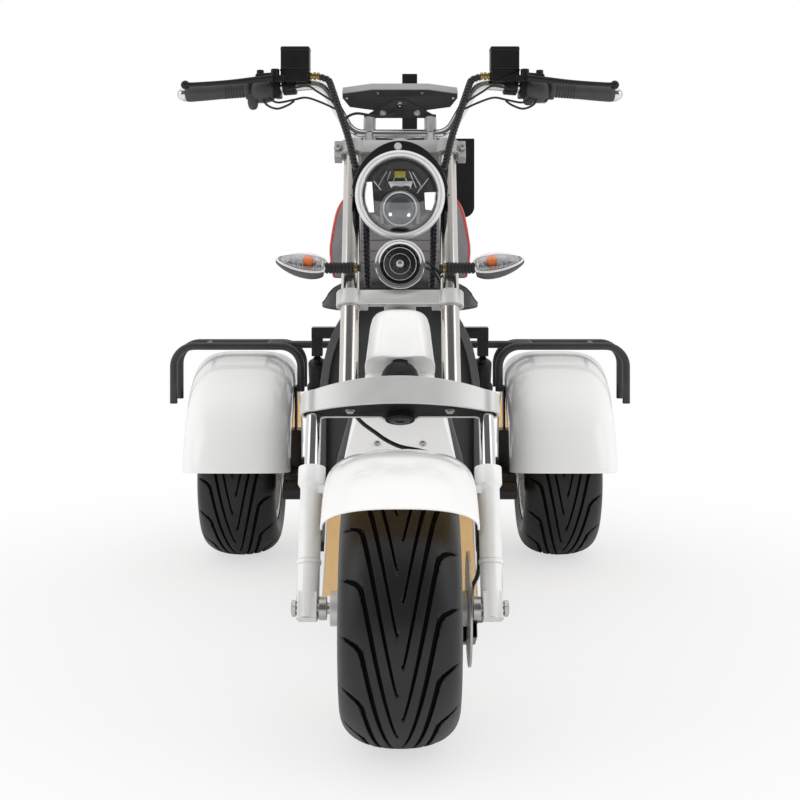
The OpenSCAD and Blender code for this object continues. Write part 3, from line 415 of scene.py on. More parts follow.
lensDark = makeFinish("projector lens", (0.035, 0.04, 0.05), 0.06, mottle=(30, 0.2), grain=(20, 0.0),
                      roughSpread=0.03, Coat_Weight=1.0, Coat_Roughness=0.02)
amberBulb = makeFinish("amber bulb", (0.72, 0.15, 0.012), 0.2, mottle=(60, 0.1), grain=(200, 0.05))
reflectorGrey = makeFinish("reflector grey", (0.42, 0.42, 0.43), 0.16, metal=1.0, mottle=(120, 0.2),
                           grain=(300, 0.1))
redLens = makeFinish("red lens", (0.42, 0.015, 0.012), 0.15, mottle=(60, 0.1), grain=(300, 0.1), Coat_Weight=0.5)
print("finishes made")

nodeFinishes = {
    "frame": whitePaint, "body_shell": greyPlastic, "footboards": blackPlastic, "battery": batteryCase,
    "seat_cushion": saddleLeather, "seat_back": backLeather, "rear_subframe": blackPaint,
    "swing_arm": blackPaint, "rear_axle": blackPaint, "rear_shocks": blackPaint,
    "rear_fender_left": whitePaint, "rear_fender_right": whitePaint, "rear_rack": charcoalPaint,
    "bag_post": blackPaint, "bag_rest": blackPlastic, "bag_tray": blackPlastic, "rear_calipers": blackPaint,
    "tail_lamps": redLens, "lower_yoke": satinSilver, "yoke_core": deepBlack, "fork_tubes": brushedSilver,
    "mid_clamp": satinSilver, "top_clamp": castSilver, "riser_caps": castSilver, "steering_stem": rubber,
    "stanchions": chrome, "sliders": sliderSilver, "front_axle": steel, "front_fender": whitePaint,
    "front_caliper": blackPaint,
    "headlight_shell": glossBlack, "headlight_ring": chrome, "headlight_lens": clearLens,
    "headlight_bracket": blackPaint, "horn": glossBlack, "signal_stalks": rubber, "signal_shells": greyPlastic,
    "signal_lenses": clearLens, "handlebar": chrome, "grips": gripRubber, "brake_masters": blackPlastic,
    "brake_levers": blackPaint, "switch_pods": blackPlastic, "dash": dashPlastic, "cables": rubber,
    "front_tyre": tyreRubber, "left_tyre": tyreRubber, "right_tyre": tyreRubber, "front_rim": satinSilver,
    "left_rim": satinSilver, "right_rim": satinSilver, "front_disc": steel, "left_disc": steel,
    "right_disc": steel}
for nodeName, look in nodeFinishes.items():
    nodes[nodeName].data.materials.clear()
    nodes[nodeName].data.materials.append(look)
print("solids painted")

# Tyres: an oval section turned about the axle, cut by grooves that run from each shoulder to the middle
tyreLook = {"grooves": 14, "groovePath": [(-15, 98), (-9, 82), (-2, 69), (10, 61), (284, 5.5)],
            "grooveHalf": [(5.5, 1.3), (45, 3.3), (69, 3.6), (98, 2.4)], "depth": 6.0, "edge": 1.0,
            "crownRadius": 228.5, "wallRadius": 165, "beadRadius": 127.3, "halfWidth": 102.5, "beadHalf": 84,
            "power": 2 / 2.3, "treadHalf": 95, "treadShare": 2.4, "fadeFrom": 97, "fadeOver": 14, "lineRadius": 178,
            "lineHalf": 1.6, "lineHigh": 0.5, "lineBeyond": 90, "floorShare": 0.4, "floorHalf": 92, "liningIn": 4,
            "crownFrom": 150}


def tyreSection(count):  # points [x, radius] along the outline from bead to bead
    t = np.linspace(math.pi, 0, 400)
    x = tyreLook["halfWidth"] * signedPower(np.cos(t), tyreLook["power"])
    r = tyreLook["wallRadius"] + (tyreLook["crownRadius"] - tyreLook["wallRadius"]) * signedPower(
        np.sin(t), tyreLook["power"])
    x = np.concatenate([[-tyreLook["beadHalf"]], x, [tyreLook["beadHalf"]]])
    r = np.concatenate([[tyreLook["beadRadius"]], r, [tyreLook["beadRadius"]]])
    onTread = np.abs(x[1:]) + np.abs(x[:-1]) < 2 * tyreLook["treadHalf"]
    share = np.where(onTread, tyreLook["treadShare"], 1)  # more columns over the tread than on the walls
    run = np.concatenate([[0], np.cumsum(np.hypot(np.diff(x), np.diff(r)) * share)])
    even = np.linspace(0, run[-1], count)
    return np.interp(even, run, x), np.interp(even, run, r)


def segmentDistance(s, x, a, b):  # distance from points (s, x) to the line from a to b
    a, b = np.array(a, float), np.array(b, float)
    d = b - a
    t = np.clip(((s - a[0]) * d[0] + (x - a[1]) * d[1]) / np.dot(d, d), 0, 1)
    return np.hypot(s - a[0] - t * d[0], x - a[1] - t * d[1])


def makeTyre(name, node, body, hub, around, across):
    x, r = tyreSection(across)
    path = tyreLook["groovePath"]
    run = 2 * math.pi * tyreLook["crownRadius"]
    pitch = run / tyreLook["grooves"]
    pathS, pathX = np.array(path[::-1], float).T
    shear = np.interp(np.abs(x), pathX, pathS)  # grid follows the grooves
    s = np.arange(around)[:, None] * run / around + shear[None]
    side = np.where(x < 0, 0.0, 0.5)[None]
    nearest = np.full(s.shape, 1e3)
    for k in (-1, 0, 1, 2, 3):
        local = (s - side * pitch) % pitch + k * pitch
        for a, b in zip(path[:-1], path[1:]):
            nearest = np.minimum(nearest, segmentDistance(local, np.abs(x)[None], a, b))
    half = fromTable(np.abs(x), tyreLook["grooveHalf"])[None]
    t = np.clip((half + tyreLook["edge"] - nearest) / (2 * tyreLook["edge"]), 0, 1)
    cut = tyreLook["depth"] * t * t * (3 - 2 * t)
    cut *= np.clip((tyreLook["fadeFrom"] - np.abs(x)[None]) / tyreLook["fadeOver"], 0, 1)  # shallower on the shoulder
    wallLine = np.clip(1 - np.abs((r[None] - tyreLook["lineRadius"]) / tyreLook["lineHalf"]), 0, 1)
    wallLine = tyreLook["lineHigh"] * wallLine * (np.abs(x)[None] > tyreLook["lineBeyond"])
    radius = (r[None] - cut + wallLine) * mm
    angle = s / tyreLook["crownRadius"]
    points = np.stack([np.broadcast_to(x[None] * mm, s.shape), -radius * np.cos(angle), -radius * np.sin(angle)], -1)
    liningHalf = tyreLook["beadHalf"] - tyreLook["liningIn"]
    inner = np.array([[liningHalf, tyreLook["beadRadius"]], [-liningHalf, tyreLook["beadRadius"]]])
    flat = np.arange(around)[:, None] * 2 * math.pi / around
    lining = np.stack([np.broadcast_to(inner[:, 0] * mm, (around, 2)), -inner[None, :, 1] * mm * np.cos(flat),
                       -inner[None, :, 1] * mm * np.sin(flat)], -1)
    whole = np.concatenate([points, lining], 1)
    grid = gridFaces(around, whole.shape[1], wrapRows=True, wrapCols=True)
    piece = addPiece(name, [((whole + hub).reshape(-1, 3), grid)], body, [tyreRubber, grooveShadeBlack], (node,),
                     sharp=50)
    # Painted shade: faces deep in a groove take the darker black
    centres = np.empty(len(piece.data.polygons) * 3, np.float32)
    piece.data.polygons.foreach_get("center", centres)
    centres = centres.reshape(-1, 3) - hub
    outer = r > tyreLook["crownFrom"]
    crown = np.interp(centres[:, 0] / mm, x[outer], r[outer])
    deep = crown - np.hypot(centres[:, 1], centres[:, 2]) / mm > tyreLook["floorShare"] * tyreLook["depth"]
    shadedGrooveFloor = deep & (np.abs(centres[:, 0]) < tyreLook["floorHalf"] * mm)  # painted shade: darker than the tread
    piece.data.polygons.foreach_set("material_index", shadedGrooveFloor.astype(np.int32))


makeTyre("frontTyreTread", "front_tyre", "front_wheel", frontAxle, 960, 98)
makeTyre("leftTyreTread", "left_tyre", "rear_wheel_left", leftHub, 720, 72)
makeTyre("rightTyreTread", "right_tyre", "rear_wheel_right", rightHub, 720, 72)
print("tyres made")

# Mudguards: a crowned outline carried round the axle, then given its thickness inwards
frontGuard = {"angles": (51, 191), "halfWidth": 132, "wider": [(51, 0), (110, 0), (191, 18)],
              "low": [(51, 218), (90, 206), (130, 204), (191, 192)], "radius": 275, "power": 2 / 2.5, "thickness": 4}
rearGuard = {"angles": (8.5, 172), "halfWidth": 137, "wider": [(0, 0), (180, 0)], "low": [(0, 214), (180, 214)],
             "radius": 320, "power": 2 / 3.6, "thickness": 4, "middle": 418}


def makeGuard(name, node, body, centre, look, rows=96, cols=72):
    angle = np.linspace(*look["angles"], rows)
    t = np.linspace(0, math.pi, cols)
    halfWidth = smoothed(look["halfWidth"] + fromTable(angle, look["wider"]), 9)
    low = smoothed(fromTable(angle, look["low"]), 9)
    radius = low[:, None] + (look["radius"] - low)[:, None] * signedPower(np.sin(t), look["power"])[None]
    x = halfWidth[:, None] * signedPower(np.cos(t), look["power"])[None]
    turn = np.radians(angle)[:, None]
    points = np.stack([x, -radius * np.cos(turn), radius * np.sin(turn)], -1) * mm + centre
    quads = gridFaces(rows, cols)[:, ::-1]
    piece = addPiece(name, [(points.reshape(-1, 3), quads)], body, [whitePaint, guardInsidePaintedGlow], (node,),
                     closed=False, sharp=60)
    wall = piece.modifiers.new("wall", "SOLIDIFY")
    wall.thickness = look["thickness"] * mm
    wall.offset = -1
    wall.use_even_offset = True
    wall.material_offset = 1
    wall.material_offset_rim = 0
    bevelled(piece, "rim", 1.2, 55)


makeGuard("frontMudguard", "front_fender", "steering", frontAxle, frontGuard)
for sign, label in ((-1, "left"), (1, "right")):
    middle = np.array([sign * rearGuard["middle"] * mm, leftHub[1], leftHub[2]])
    makeGuard(label + "Mudguard", "rear_fender_" + label, "chassis", middle, rearGuard)
print("mudguards made")

# Headlight: ring, lens and what shows through it; places in mm right of, behind and above the lamp's middle
headlight = {"middle": (0, 262, 958),
             "ring": [(74, 5), (75, 1), (77.5, -2.2), (80.5, -3), (83.5, -2.4), (86.5, 0.6), (88, 5), (88, 29),
                      (87, 30), (81.2, 30), (81.2, 19.7), (74, 19.7), (74, 5)],
             "lens": [(0, -2), (20, -1.5), (40, 0), (60, 3), (73.4, 6.5), (73.4, 8.5), (60, 5), (40, 2), (20, 0.4),
                      (0, 0)],
             "bowl": [(69.5, 11), (69, 14), (66, 24), (50, 33), (0, 36)],
             "fins": [((-26, 47), (-42, 19)), ((-18.5, 47), (-25, 29)), ((-37.5, 10), (-52, 28)),
                      ((-11, 34), (-17.5, 15)), ((18.5, 47), (31.5, 15)), ((25, 45), (43, 14)),
                      ((33.5, 4), (56, 33)), ((10.5, 34), (20.5, 13))],
             "strip": [(-24, 27), (25, 28), (21, 12), (17, 17), (-13, 17), (-17, 13)],
             "leftLamp": [(-66, 26), (-55, 26), (-53, -3), (-51, -34), (-62, -34), (-70, -6)],
             "rightLamp": [(48, 5), (71, 6), (69, -14), (62, -30), (50, -28)],
             "lowerBowl": [(-61, -32), (-40, -42), (-40, -58), (40, -58), (40, -42), (61, -32), (52, -45), (34, -60),
                           (0, -68.5), (-34, -60), (-52, -45)],
             "projector": [(31, 0), (30, 4), (26, 8), (18, 11.3), (9, 12.8), (0, 13.2)],
             "bezel": [(31, -3), (31, 3), (33.5, 3.5), (34.5, 0), (34.5, -6), (31, -6), (31, -3)],
             "bezelAt": (0, 18, -27), "projectorAt": (0, 20, -27), "chip": ((0, 26, 41), (11, 2, 6.5)),
             "glints": [(-19, 9.5, -38), (17, 9.5, -39)], "washer": (-4, 30.8, 96.5), "bolt": (-4, 29.6, 96.5)}
headMiddle = trikeAt(*headlight["middle"])


def headAt(x, y, z):
    return headMiddle + np.array([x, y, z], float) * mm


def headSlab(key, y, thickness, edge):
    return slab(roundedOutline(headlight[key], 1.5, 3), headAt(0, y, 0), axisX, axisZ, thickness, edge)


addPiece("headlightRing", [lathe(headlight["ring"], headMiddle, axisY, 128)], "steering", ringSilver,
         ("headlight_ring",))
addPiece("headlightGlass", [lathe(headlight["lens"], headMiddle, axisY, 96)], "steering", clearLens,
         ("headlight_lens",))
addPiece("headlightBowl", [lathe(headlight["bowl"], headMiddle, axisY, 96)], "steering", glossBlack,
         closed=False)
archRadius, archMiddle = 36, -30
archTop = [(-archRadius * math.cos(a), archMiddle + archRadius * math.sin(a)) for a in np.linspace(0, math.pi, 13)]
arch = [(-archRadius, -56), (-archRadius, -44)] + archTop + [(archRadius, -44), (archRadius, -56)]
# Painted highlights: the fins are thin bright tubes along the reflector's facet lines where they catch the light, and
# the strip is a bright slab where a highlight lies across the reflector
fins = [tube(np.array([headAt(a[0], 24, a[1]), headAt(b[0], 19, b[1])]), 0.9, 6) for a, b in headlight["fins"]]
addPiece("headlightFacetsAndHighlights", fins + [headSlab("strip", 20, 3, 1.0),
         lathe(headlight["bezel"], headAt(*headlight["bezelAt"]), -axisY, 64)], "steering", ringSilver)
addPiece("headlightArch", [tube(smoothPath([headAt(x, 21, z) for x, z in arch], 60), 4.2, 12),
         headSlab("lowerBowl", 24, 3, 1.2)], "steering", smokeGrey)
# The glints are small glowing blocks, painted highlights on the projector lens
addPiece("headlightDayLampsAndGlints", [headSlab("leftLamp", 17, 4, 1.2), headSlab("rightLamp", 17, 4, 1.2)]
         + [roundedBox(headAt(*place), (3, 0.8, 3.2), 0.7) for place in headlight["glints"]],
         "steering", dayLampAndGlintWhite)
chipAt, chipHalf = headlight["chip"]
addPiece("headlightChip", [roundedBox(headAt(*chipAt), chipHalf, 1)], "steering", ledYellow)
lowLamp = [(25 * math.cos(a) - 6, 8 * math.sin(a) - 58) for a in np.linspace(0, 2 * math.pi, 32, endpoint=False)]
addPiece("headlightProjector", [lathe(headlight["projector"], headAt(*headlight["projectorAt"]), -axisY, 64),
         slab(lowLamp, headAt(0, 21, 0), axisX, axisZ, 3, 1)], "steering", lensDark)
hoodLook = {"reach": 97, "crown": 11, "inner": 84, "from": 14, "to": 166, "steps": 49}
hoodTurn = np.radians(np.linspace(hoodLook["from"], hoodLook["to"], hoodLook["steps"]))
hoodRadius = hoodLook["reach"] + hoodLook["crown"] * np.sin(hoodTurn) ** 4
hoodLine = [(hoodLook["inner"], 30.6), (hoodRadius - 3, 30.6), (hoodRadius - 0.6, 31.6), (hoodRadius, 34),
            (hoodRadius, 76), (hoodRadius - 3, 76), (hoodRadius - 3, 36), (hoodLook["inner"], 36)]
hoodRows = [np.stack([r * np.cos(hoodTurn), np.full(hoodLook["steps"], y), r * np.sin(hoodTurn)], 1)
            for r, y in hoodLine]
hoodGrid = headMiddle + np.stack(hoodRows) * mm
hoodEnds = [hoodGrid.mean(0)[k][None, None].repeat(len(hoodLine), 0) for k in (0, -1)]
hoodGrid = np.concatenate([hoodEnds[0], hoodGrid, hoodEnds[1]], 1)
addPiece("headlightHood", [(hoodGrid.reshape(-1, 3), gridFaces(*hoodGrid.shape[:2], wrapRows=True))], "steering",
         blackPaint)
addPiece("headlightBolt", [drum(headAt(*headlight["washer"]), -axisY, 7.6, 1.4, 32),
         screwHead(headAt(*headlight["bolt"]), -axisY, 6.2, 6, True)], "steering", ringSilver)
print("headlight made")

# Horn: bright rim, two bright rings and the hub in front of the black body
hornMiddle = trikeAt(0, 214, 825)
hornRim = [(37.6, 11), (37.6, 3), (38.6, 0.4), (42, -0.8), (44, -0.4), (46.2, -0.8), (47.6, 1), (48.6, 3.6),
           (48.6, 15.5), (47.9, 15.5), (47.9, 4.2), (46, 0.3), (42, 0.3), (38.4, 2.4), (38.4, 11), (37.6, 11)]


def ringAt(origin, axis, radius, height, thick, sides=72):
    turn = np.linspace(0, 2 * math.pi, 13)
    return lathe(np.column_stack([radius + thick * np.cos(turn), height + thick * np.sin(turn)]), origin, axis, sides)


hornRings = [(31.2, 8.2, 0.9), (19.6, 9.0, 0.7)]  # radius, how far back, thickness
addPiece("hornRim", [lathe(hornRim, hornMiddle, axisY, 96)]
         + [ringAt(hornMiddle, axisY, *ring) for ring in hornRings], "steering", chrome)
addPiece("hornHub", [lathe([(0, 0.6), (4, 1.2), (7, 3), (8.6, 5.8), (9, 8), (0, 9)], hornMiddle, axisY, 32)],
         "steering", steel)
print("horn made")

# Solids that keep their shape: doubles merged, edges rounded by a bevel over the bend angle
bodyOf = {n: body for body, members in frame["record"]["behaviour"]["bodies"].items() for n in members}
edgeWidths = {"frame": 2.5, "body_shell": 2, "footboards": 2, "rear_subframe": 2, "swing_arm": 3, "rear_axle": 1.5,
              "bag_post": 2, "bag_rest": 1.5, "bag_tray": 1.5, "rear_calipers": 3, "tail_lamps": 2,
              "lower_yoke": 1.5, "yoke_core": 1, "fork_tubes": 1, "mid_clamp": 1.5, "top_clamp": 1.5,
              "riser_caps": 1, "steering_stem": 1, "sliders": 1.5, "front_axle": 1, "front_caliper": 2.5,
              "headlight_shell": 1, "headlight_bracket": 0.8, "horn": 0.4, "brake_masters": 2.2,
              "switch_pods": 2.5, "dash": 1.2, "front_rim": 1.2, "left_rim": 1.2, "right_rim": 1.2,
              "front_disc": 0.3, "left_disc": 0.3, "right_disc": 0.3, "stanchions": 0, "handlebar": 0,
              "rear_rack": 0}


def softened(node, width, bend=40):
    mesh = nodes[node].data.copy()
    work = bmesh.new()
    work.from_mesh(mesh)
    bmesh.ops.remove_doubles(work, verts=work.verts, dist=1e-5)
    bmesh.ops.dissolve_limit(work, angle_limit=math.radians(0.5), verts=work.verts, edges=work.edges)
    work.to_mesh(mesh)
    work.free()
    smoothShaded(mesh)
    mesh.set_sharp_from_angle(angle=math.radians(bend))
    piece = linked(node + "Soft", mesh)
    if width:
        rim = bevelled(piece, "edges", width, bend)
        rim.use_clamp_overlap = False
        rim.harden_normals = True
    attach(piece, bodyOf[node])
    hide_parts(node)


for nodeName, width in edgeWidths.items():
    softened(nodeName, width)
print("edges rounded")

# Hand controls: the right hand's places, mirrored for the left
handBar = {"middle": (0, 0, 974), "bend": (163, 8, 1195), "end": (455, 40, 1177), "gripLength": 132, "potFrom": 92}
barMid = forkAt(*handBar["middle"])


def barPoint(key):  # x, behind the bar's middle, height
    x, y, z = handBar[key]
    return np.array([x * mm, barMid[1] + y * mm, z * mm])


barEnd = barPoint("end")
barDir = unit(barEnd - barPoint("bend"))
handAxes = np.stack([barDir, unit(np.cross(axisZ, barDir)), unit(np.cross(barDir, np.cross(axisZ, barDir)))])


def alongBar(d):
    return barEnd - barDir * d * mm


pot = alongBar(handBar["gripLength"] + handBar["potFrom"])


def potAt(x, y, z):
    return pot + np.array([x, y, z], float) * mm


gripLook = {"bore": 11.3, "body": [(15.2, 0.3), (16.7, 2.5), (17.2, 12), (16.8, 45), (16.1, 78)], "ribs": 7,
            "ribFrom": 84, "ribStep": 6.2, "ribHigh": 16.4, "ribLow": 15.0,
            "collar": [(15.4, 129), (20.8, 130), (21.5, 132), (21.5, 137.5), (20.8, 139)]}
ribLine = [(r, gripLook["ribFrom"] + k * gripLook["ribStep"] + d) for k in range(gripLook["ribs"])
           for r, d in ((gripLook["ribHigh"], 0.4), (gripLook["ribHigh"], 3.6), (gripLook["ribLow"], 4.2),
                        (gripLook["ribLow"], 5.8))]
gripLine = [(gripLook["bore"], 0.3)] + gripLook["body"] + ribLine + gripLook["collar"] + [
    (gripLook["bore"], 139), (gripLook["bore"], 0.3)]
addPiece("gripSleeves", bothSides([lathe(gripLine, barEnd, -barDir, 48)]), "steering", gripRubber,
         ("grips",))

leverLook = {"start": (30, -53.8, 13), "bend": (90, -58, 12), "tip": (6, -52, 14), "ball": 9.5,
             "radius": [(0, 8.0), (0.1, 7.0), (0.45, 5.4), (0.9, 4.8), (1, 5.2)]}


def besideBar(d, y, z):
    return alongBar(d) + np.array([0, y, z], float) * mm


leverTip = besideBar(*leverLook["tip"])
leverPath = smoothPath([potAt(*leverLook["start"]), besideBar(*leverLook["bend"]), leverTip], 60)
leverRadius = fromTable(np.linspace(0, 1, 60), leverLook["radius"])
addPiece("leverBlades", bothSides([tube(leverPath, leverRadius, 20),
         lathe(ballLine(leverLook["ball"]), leverTip, barDir, 28)]), "steering", blackPaint,
         ("brake_levers",))

potLook = {"lid": ((-14, -20, 75.2), (30.7, 22.7, 5.2)), "lidScrews": [(-36, -20, 80.3), (8, -20, 80.3)],
           "pivot": ((47, -44, 15), (20, 10, 8.5)), "knob": (58, -42, 8), "tube": (17, -20, 20),
           "union": (-44.6, -20, 20)}
lidScrews = [screwHead(potAt(*place), axisZ, 3.4, 1.6) for place in potLook["lidScrews"]]
addPiece("potLids", bothSides([roundedBox(potAt(*potLook["lid"][0]), potLook["lid"][1], 4.4),
         roundedBox(potAt(*potLook["pivot"][0]), potLook["pivot"][1], 4, handAxes),
         lathe([(0, 0), (6.5, 0), (7.6, 1.2), (7.6, 20), (6.6, 22.4), (0, 23)], potAt(*potLook["knob"]), axisZ, 24),
         lathe([(0, 0), (9, 0), (10, 1.5), (10.4, 60), (9, 61.5), (0, 61.5)], potAt(*potLook["tube"]), -axisX, 28)]
         + lidScrews), "steering", blackPlastic)
banjoLine = [(0, 0), (6.5, 0), (7.6, 1), (7.6, 4.2), (5.4, 4.6), (5.4, 6.4), (8.4, 6.8), (8.4, 11.6), (5.6, 12),
             (5.6, 14), (7.8, 14.4), (7.8, 19), (6.4, 20), (4.6, 20.4), (4.6, 26), (0, 26.5)]
addPiece("hoseUnions", bothSides([lathe(banjoLine, potAt(*potLook["union"]), -axisX, 24)]), "steering", brass)

podLook = {"housing": ((168, -6, -7), (27, 25, 24)), "paddle": ((146, -15, -26), (11, 9, 19)),
           "lobe": ((186, -12, -26), (11, 11, 12)), "box": ((198, -3, -2), (7, 17, 22)), "power": 2.6,
           "rim": [(21.6, 0), (22.6, 1.5), (22.6, 7), (21.6, 8.5), (20, 8.5), (20, 0), (21.6, 0)],
           "rimsAt": (139, 146)}


def blob(place, half, rows=28, cols=48):  # superellipsoid along the bar
    u = np.linspace(-math.pi / 2, math.pi / 2, rows)[:, None]
    v = np.linspace(0, 2 * math.pi, cols, endpoint=False)[None]
    power = 2 / podLook["power"]
    ring = signedPower(np.cos(u), power)
    ball = np.stack([np.broadcast_to(signedPower(np.sin(u), power), (rows, cols)),
                     ring * signedPower(np.cos(v), power), ring * signedPower(np.sin(v), power)], -1)
    grid = (ball * np.array(half) * mm) @ handAxes + besideBar(*place)
    return grid.reshape(-1, 3), gridFaces(rows, cols, wrapCols=True)


addPiece("podHousings", bothSides([blob(*podLook["housing"])]) + [mirrored(blob(*podLook["paddle"])),
         blob(*podLook["lobe"])], "steering", gripRubber)
podParts = [lathe(podLook["rim"], alongBar(d), -barDir, 40) for d in podLook["rimsAt"]]
podParts += [roundedBox(besideBar(*podLook["box"][0]), podLook["box"][1], 4, handAxes)]
addPiece("thumbControls", bothSides(podParts), "steering", blackPlastic)
print("hand controls made")

# Looms and hose: tubes along the solids' own routes, the looms wrapped by a raised spiral
loomLook = {"radius": 7.4, "pitch": 8.4, "step": 1.0, "low": 0.8, "bend": 22, "wire": 2.3}


def evenly(points, step):  # same polyline, points a step apart
    run = np.concatenate([[0], np.cumsum(np.linalg.norm(np.diff(points, axis=0), axis=1))])
    even = np.linspace(0, run[-1], max(2, int(run[-1] / (step * mm))))
    return np.stack([np.interp(even, run, points[:, k]) for k in range(3)], 1)


def spiral(radius, turn):  # raised over three quarters of each turn of the wrap
    row = np.arange(len(radius))[:, None] * loomLook["step"] * 2 * math.pi / loomLook["pitch"]
    raised = np.clip(np.cos(turn - row) * 2.2 + 1.5, 0, 1)
    return radius * (loomLook["low"] + (1 - loomLook["low"]) * raised)


def wiresAlong(routes, radius, count):
    return [tube(smoothPath([trikeAt(*p) for p in route], count), radius, 12) for route in routes]


loomRoute = np.array([potAt(-66, -21, 18), potAt(-84, -22, 12), trikeAt(104, 368, 1074), trikeAt(90, 346, 1012),
                      trikeAt(58, 344, 985)])
loomPath = evenly(filleted(loomRoute, loomLook["bend"] * mm, 10), loomLook["step"])
hoseRoute = [[-98, 36, 390], [-84, 36, 366], [-70, 38, 351], [-50, 42, 338], [-28, 45, 322], [0, 48, 309],
             [34, 50, 304], [84, 50, 290], [143, 38, 236], [143, 38, 70], [130, 76, 52], [130, 76, 20.3]]
hosePath = evenly(filleted(forkAt(*np.array(hoseRoute).T), 24 * mm, 8), 4)
addPiece("wrappedLooms", bothSides([tube(loomPath, loomLook["radius"], 24, spiral)]) + [tube(hosePath, 4, 16)],
         "steering", loomBlack, ("cables",), sharp=60)
innerRoute = [[74, 344, 996], [68, 340, 960], [67, 326, 900], [66, 312, 840], [64, 300, 776]]
innerPath = evenly(filleted(trikeAt(*np.array(innerRoute, float).T), loomLook["bend"] * mm, 10), loomLook["step"])
addPiece("innerLooms", bothSides([tube(innerPath, loomLook["radius"], 24, spiral)]), "steering", loomBlack,
         sharp=60)
podRoutes = [[(236, 448, 1182), (195, 440, 1189), (172, 430, 1176), (138, 419, 1154)],
             [(276, 455, 1165), (256, 448, 1155), (223, 442, 1160), (196, 436, 1164), (166, 424, 1154),
              (132, 412, 1138)],
             [(290, 456, 1169), (280, 451, 1151), (258, 448, 1142), (235, 445, 1149), (221, 443, 1158)]]
dashRoute = [(-10, 441, 1131), (-34, 436, 1124), (-58, 430, 1126), (-92, 424, 1130), (-114, 416, 1117),
             (-112, 396, 1096), (-104, 372, 1076)]
hornRoutes = [[(44, 240, 829), (60, 262, 822), (76, 276, 806), (86, 292, 786)],
              [(46, 244, 818), (66, 270, 806), (84, 290, 776)]]
wires = bothSides(wiresAlong(podRoutes, loomLook["wire"], 60))
wires += wiresAlong([dashRoute], 2.8, 80) + wiresAlong(hornRoutes, 2.4, 40)
addPiece("switchWires", wires, "steering", rubber)
print("looms made")

# Dash: a grey strip along the top wall, small screws on the face and bolts on the plate
dashLook = {"middle": (0, 20, 80), "lean": 25, "depth": 34, "screws": [(46.5, 15), (-46.5, 15), (112, 4), (-112, 4)],
            "strip": [((-60, 24), (60, 24)), ((60, 24), (121, 15)), ((-121, 15), (-60, 24))],
            "bolts": [(0, -9), (36, -27), (-36, -27)], "screwsOut": 16.8, "washersOut": 21.8, "boltsOut": 22.8}
dashMid = barMid + np.array(dashLook["middle"]) * mm
dashLean = math.radians(dashLook["lean"])
dashUp = np.array([0, -math.sin(dashLean), math.cos(dashLean)])
dashOut = np.cross(axisX, dashUp)


def dashAt(x, y, z):
    return dashMid + (x * axisX + y * dashUp + z * dashOut) * mm


def dashStrip(a, b):
    a, b = np.array(a, float), np.array(b, float)
    along = unit(b - a)
    rise = np.array([-along[1], along[0]])
    middle = (a + b) / 2 - rise * 0.2
    axes = np.stack([along[0] * axisX + along[1] * dashUp, rise[0] * axisX + rise[1] * dashUp, dashOut])
    half = (np.linalg.norm(b - a) / 2 + 0.4, 1.2, dashLook["depth"] / 2 + 0.4)
    return roundedBox(dashAt(*middle, 0), half, 0.5, axes)


addPiece("dashStrip", [dashStrip(a, b) for a, b in dashLook["strip"]], "steering", stripGrey)
dashBolts = [screwHead(dashAt(x, y, dashLook["screwsOut"]), dashOut, 2.6, 1.6) for x, y in dashLook["screws"]]
for x, y in dashLook["bolts"]:
    dashBolts += [drum(dashAt(x, y, dashLook["washersOut"]), dashOut, 6.6, 1.2),
                  screwHead(dashAt(x, y, dashLook["boltsOut"]), dashOut, 5.2, 4.2)]
addPiece("dashBolts", dashBolts, "steering", chrome)
print("dash made")

# Turn lamps: an outline turned about an axis that rises outward, parted by a leaning plane
lampLook = {"root": (146.3, 246, 816), "rise": 8, "lean": 35, "part": 5, "wall": 1.3, "bulb": (33, 13, 10.8),
            "line": [(5.1, 0), (12, 0), (17, 0.3), (18.4, 1.6), (21.5, 7), (24, 14), (25.6, 23), (26, 32), (25.2, 44),
                     (23, 56), (19.5, 67), (15, 78), (10.5, 86), (7, 91), (5.1, 93.4)],
            "tip": [(3, 95.2), (0.4, 96)], "rim": 2.3, "ridgePitch": 5.2, "ridgeHigh": 1.6, "dishHigh": 2.5}
lampRise, lampLean = math.radians(lampLook["rise"]), math.radians(lampLook["lean"])
lampAxis = np.array([math.cos(lampRise), 0, math.sin(lampRise)])
lampUp = np.array([-math.sin(lampRise) * math.cos(lampLean), -math.sin(lampLean),
                   math.cos(lampRise) * math.cos(lampLean)])
lampAcross = np.cross(lampUp, lampAxis)
lampRoot = trikeAt(*lampLook["root"])


def lampAt(along, across, up):
    along, across, up = (np.asarray(v, float)[..., None] * mm for v in np.broadcast_arrays(along, across, up))
    return lampRoot + along * lampAxis + across * lampAcross + up * lampUp


def lampRows(line, fromSide):  # circle of each radius kept above the parting plane, or below it
    r, s = np.array(line, float).T
    edge = np.arcsin(np.minimum(1, lampLook["part"] / r))[:, None]
    t = np.linspace(0, 1, 40)[None]
    angle = edge + t * (math.pi - 2 * edge) if fromSide == "above" else math.pi - edge + t * (math.pi + 2 * edge)
    return lampAt(np.broadcast_to(s[:, None], angle.shape), r[:, None] * np.cos(angle), r[:, None] * np.sin(angle))


def lampEdge(drop):  # line where the plane cuts the outline, both ways round
    r, s = np.array(lampLook["line"], float).T
    half = np.sqrt(np.maximum(0, r ** 2 - lampLook["part"] ** 2))
    return s, np.maximum(0, half - drop)


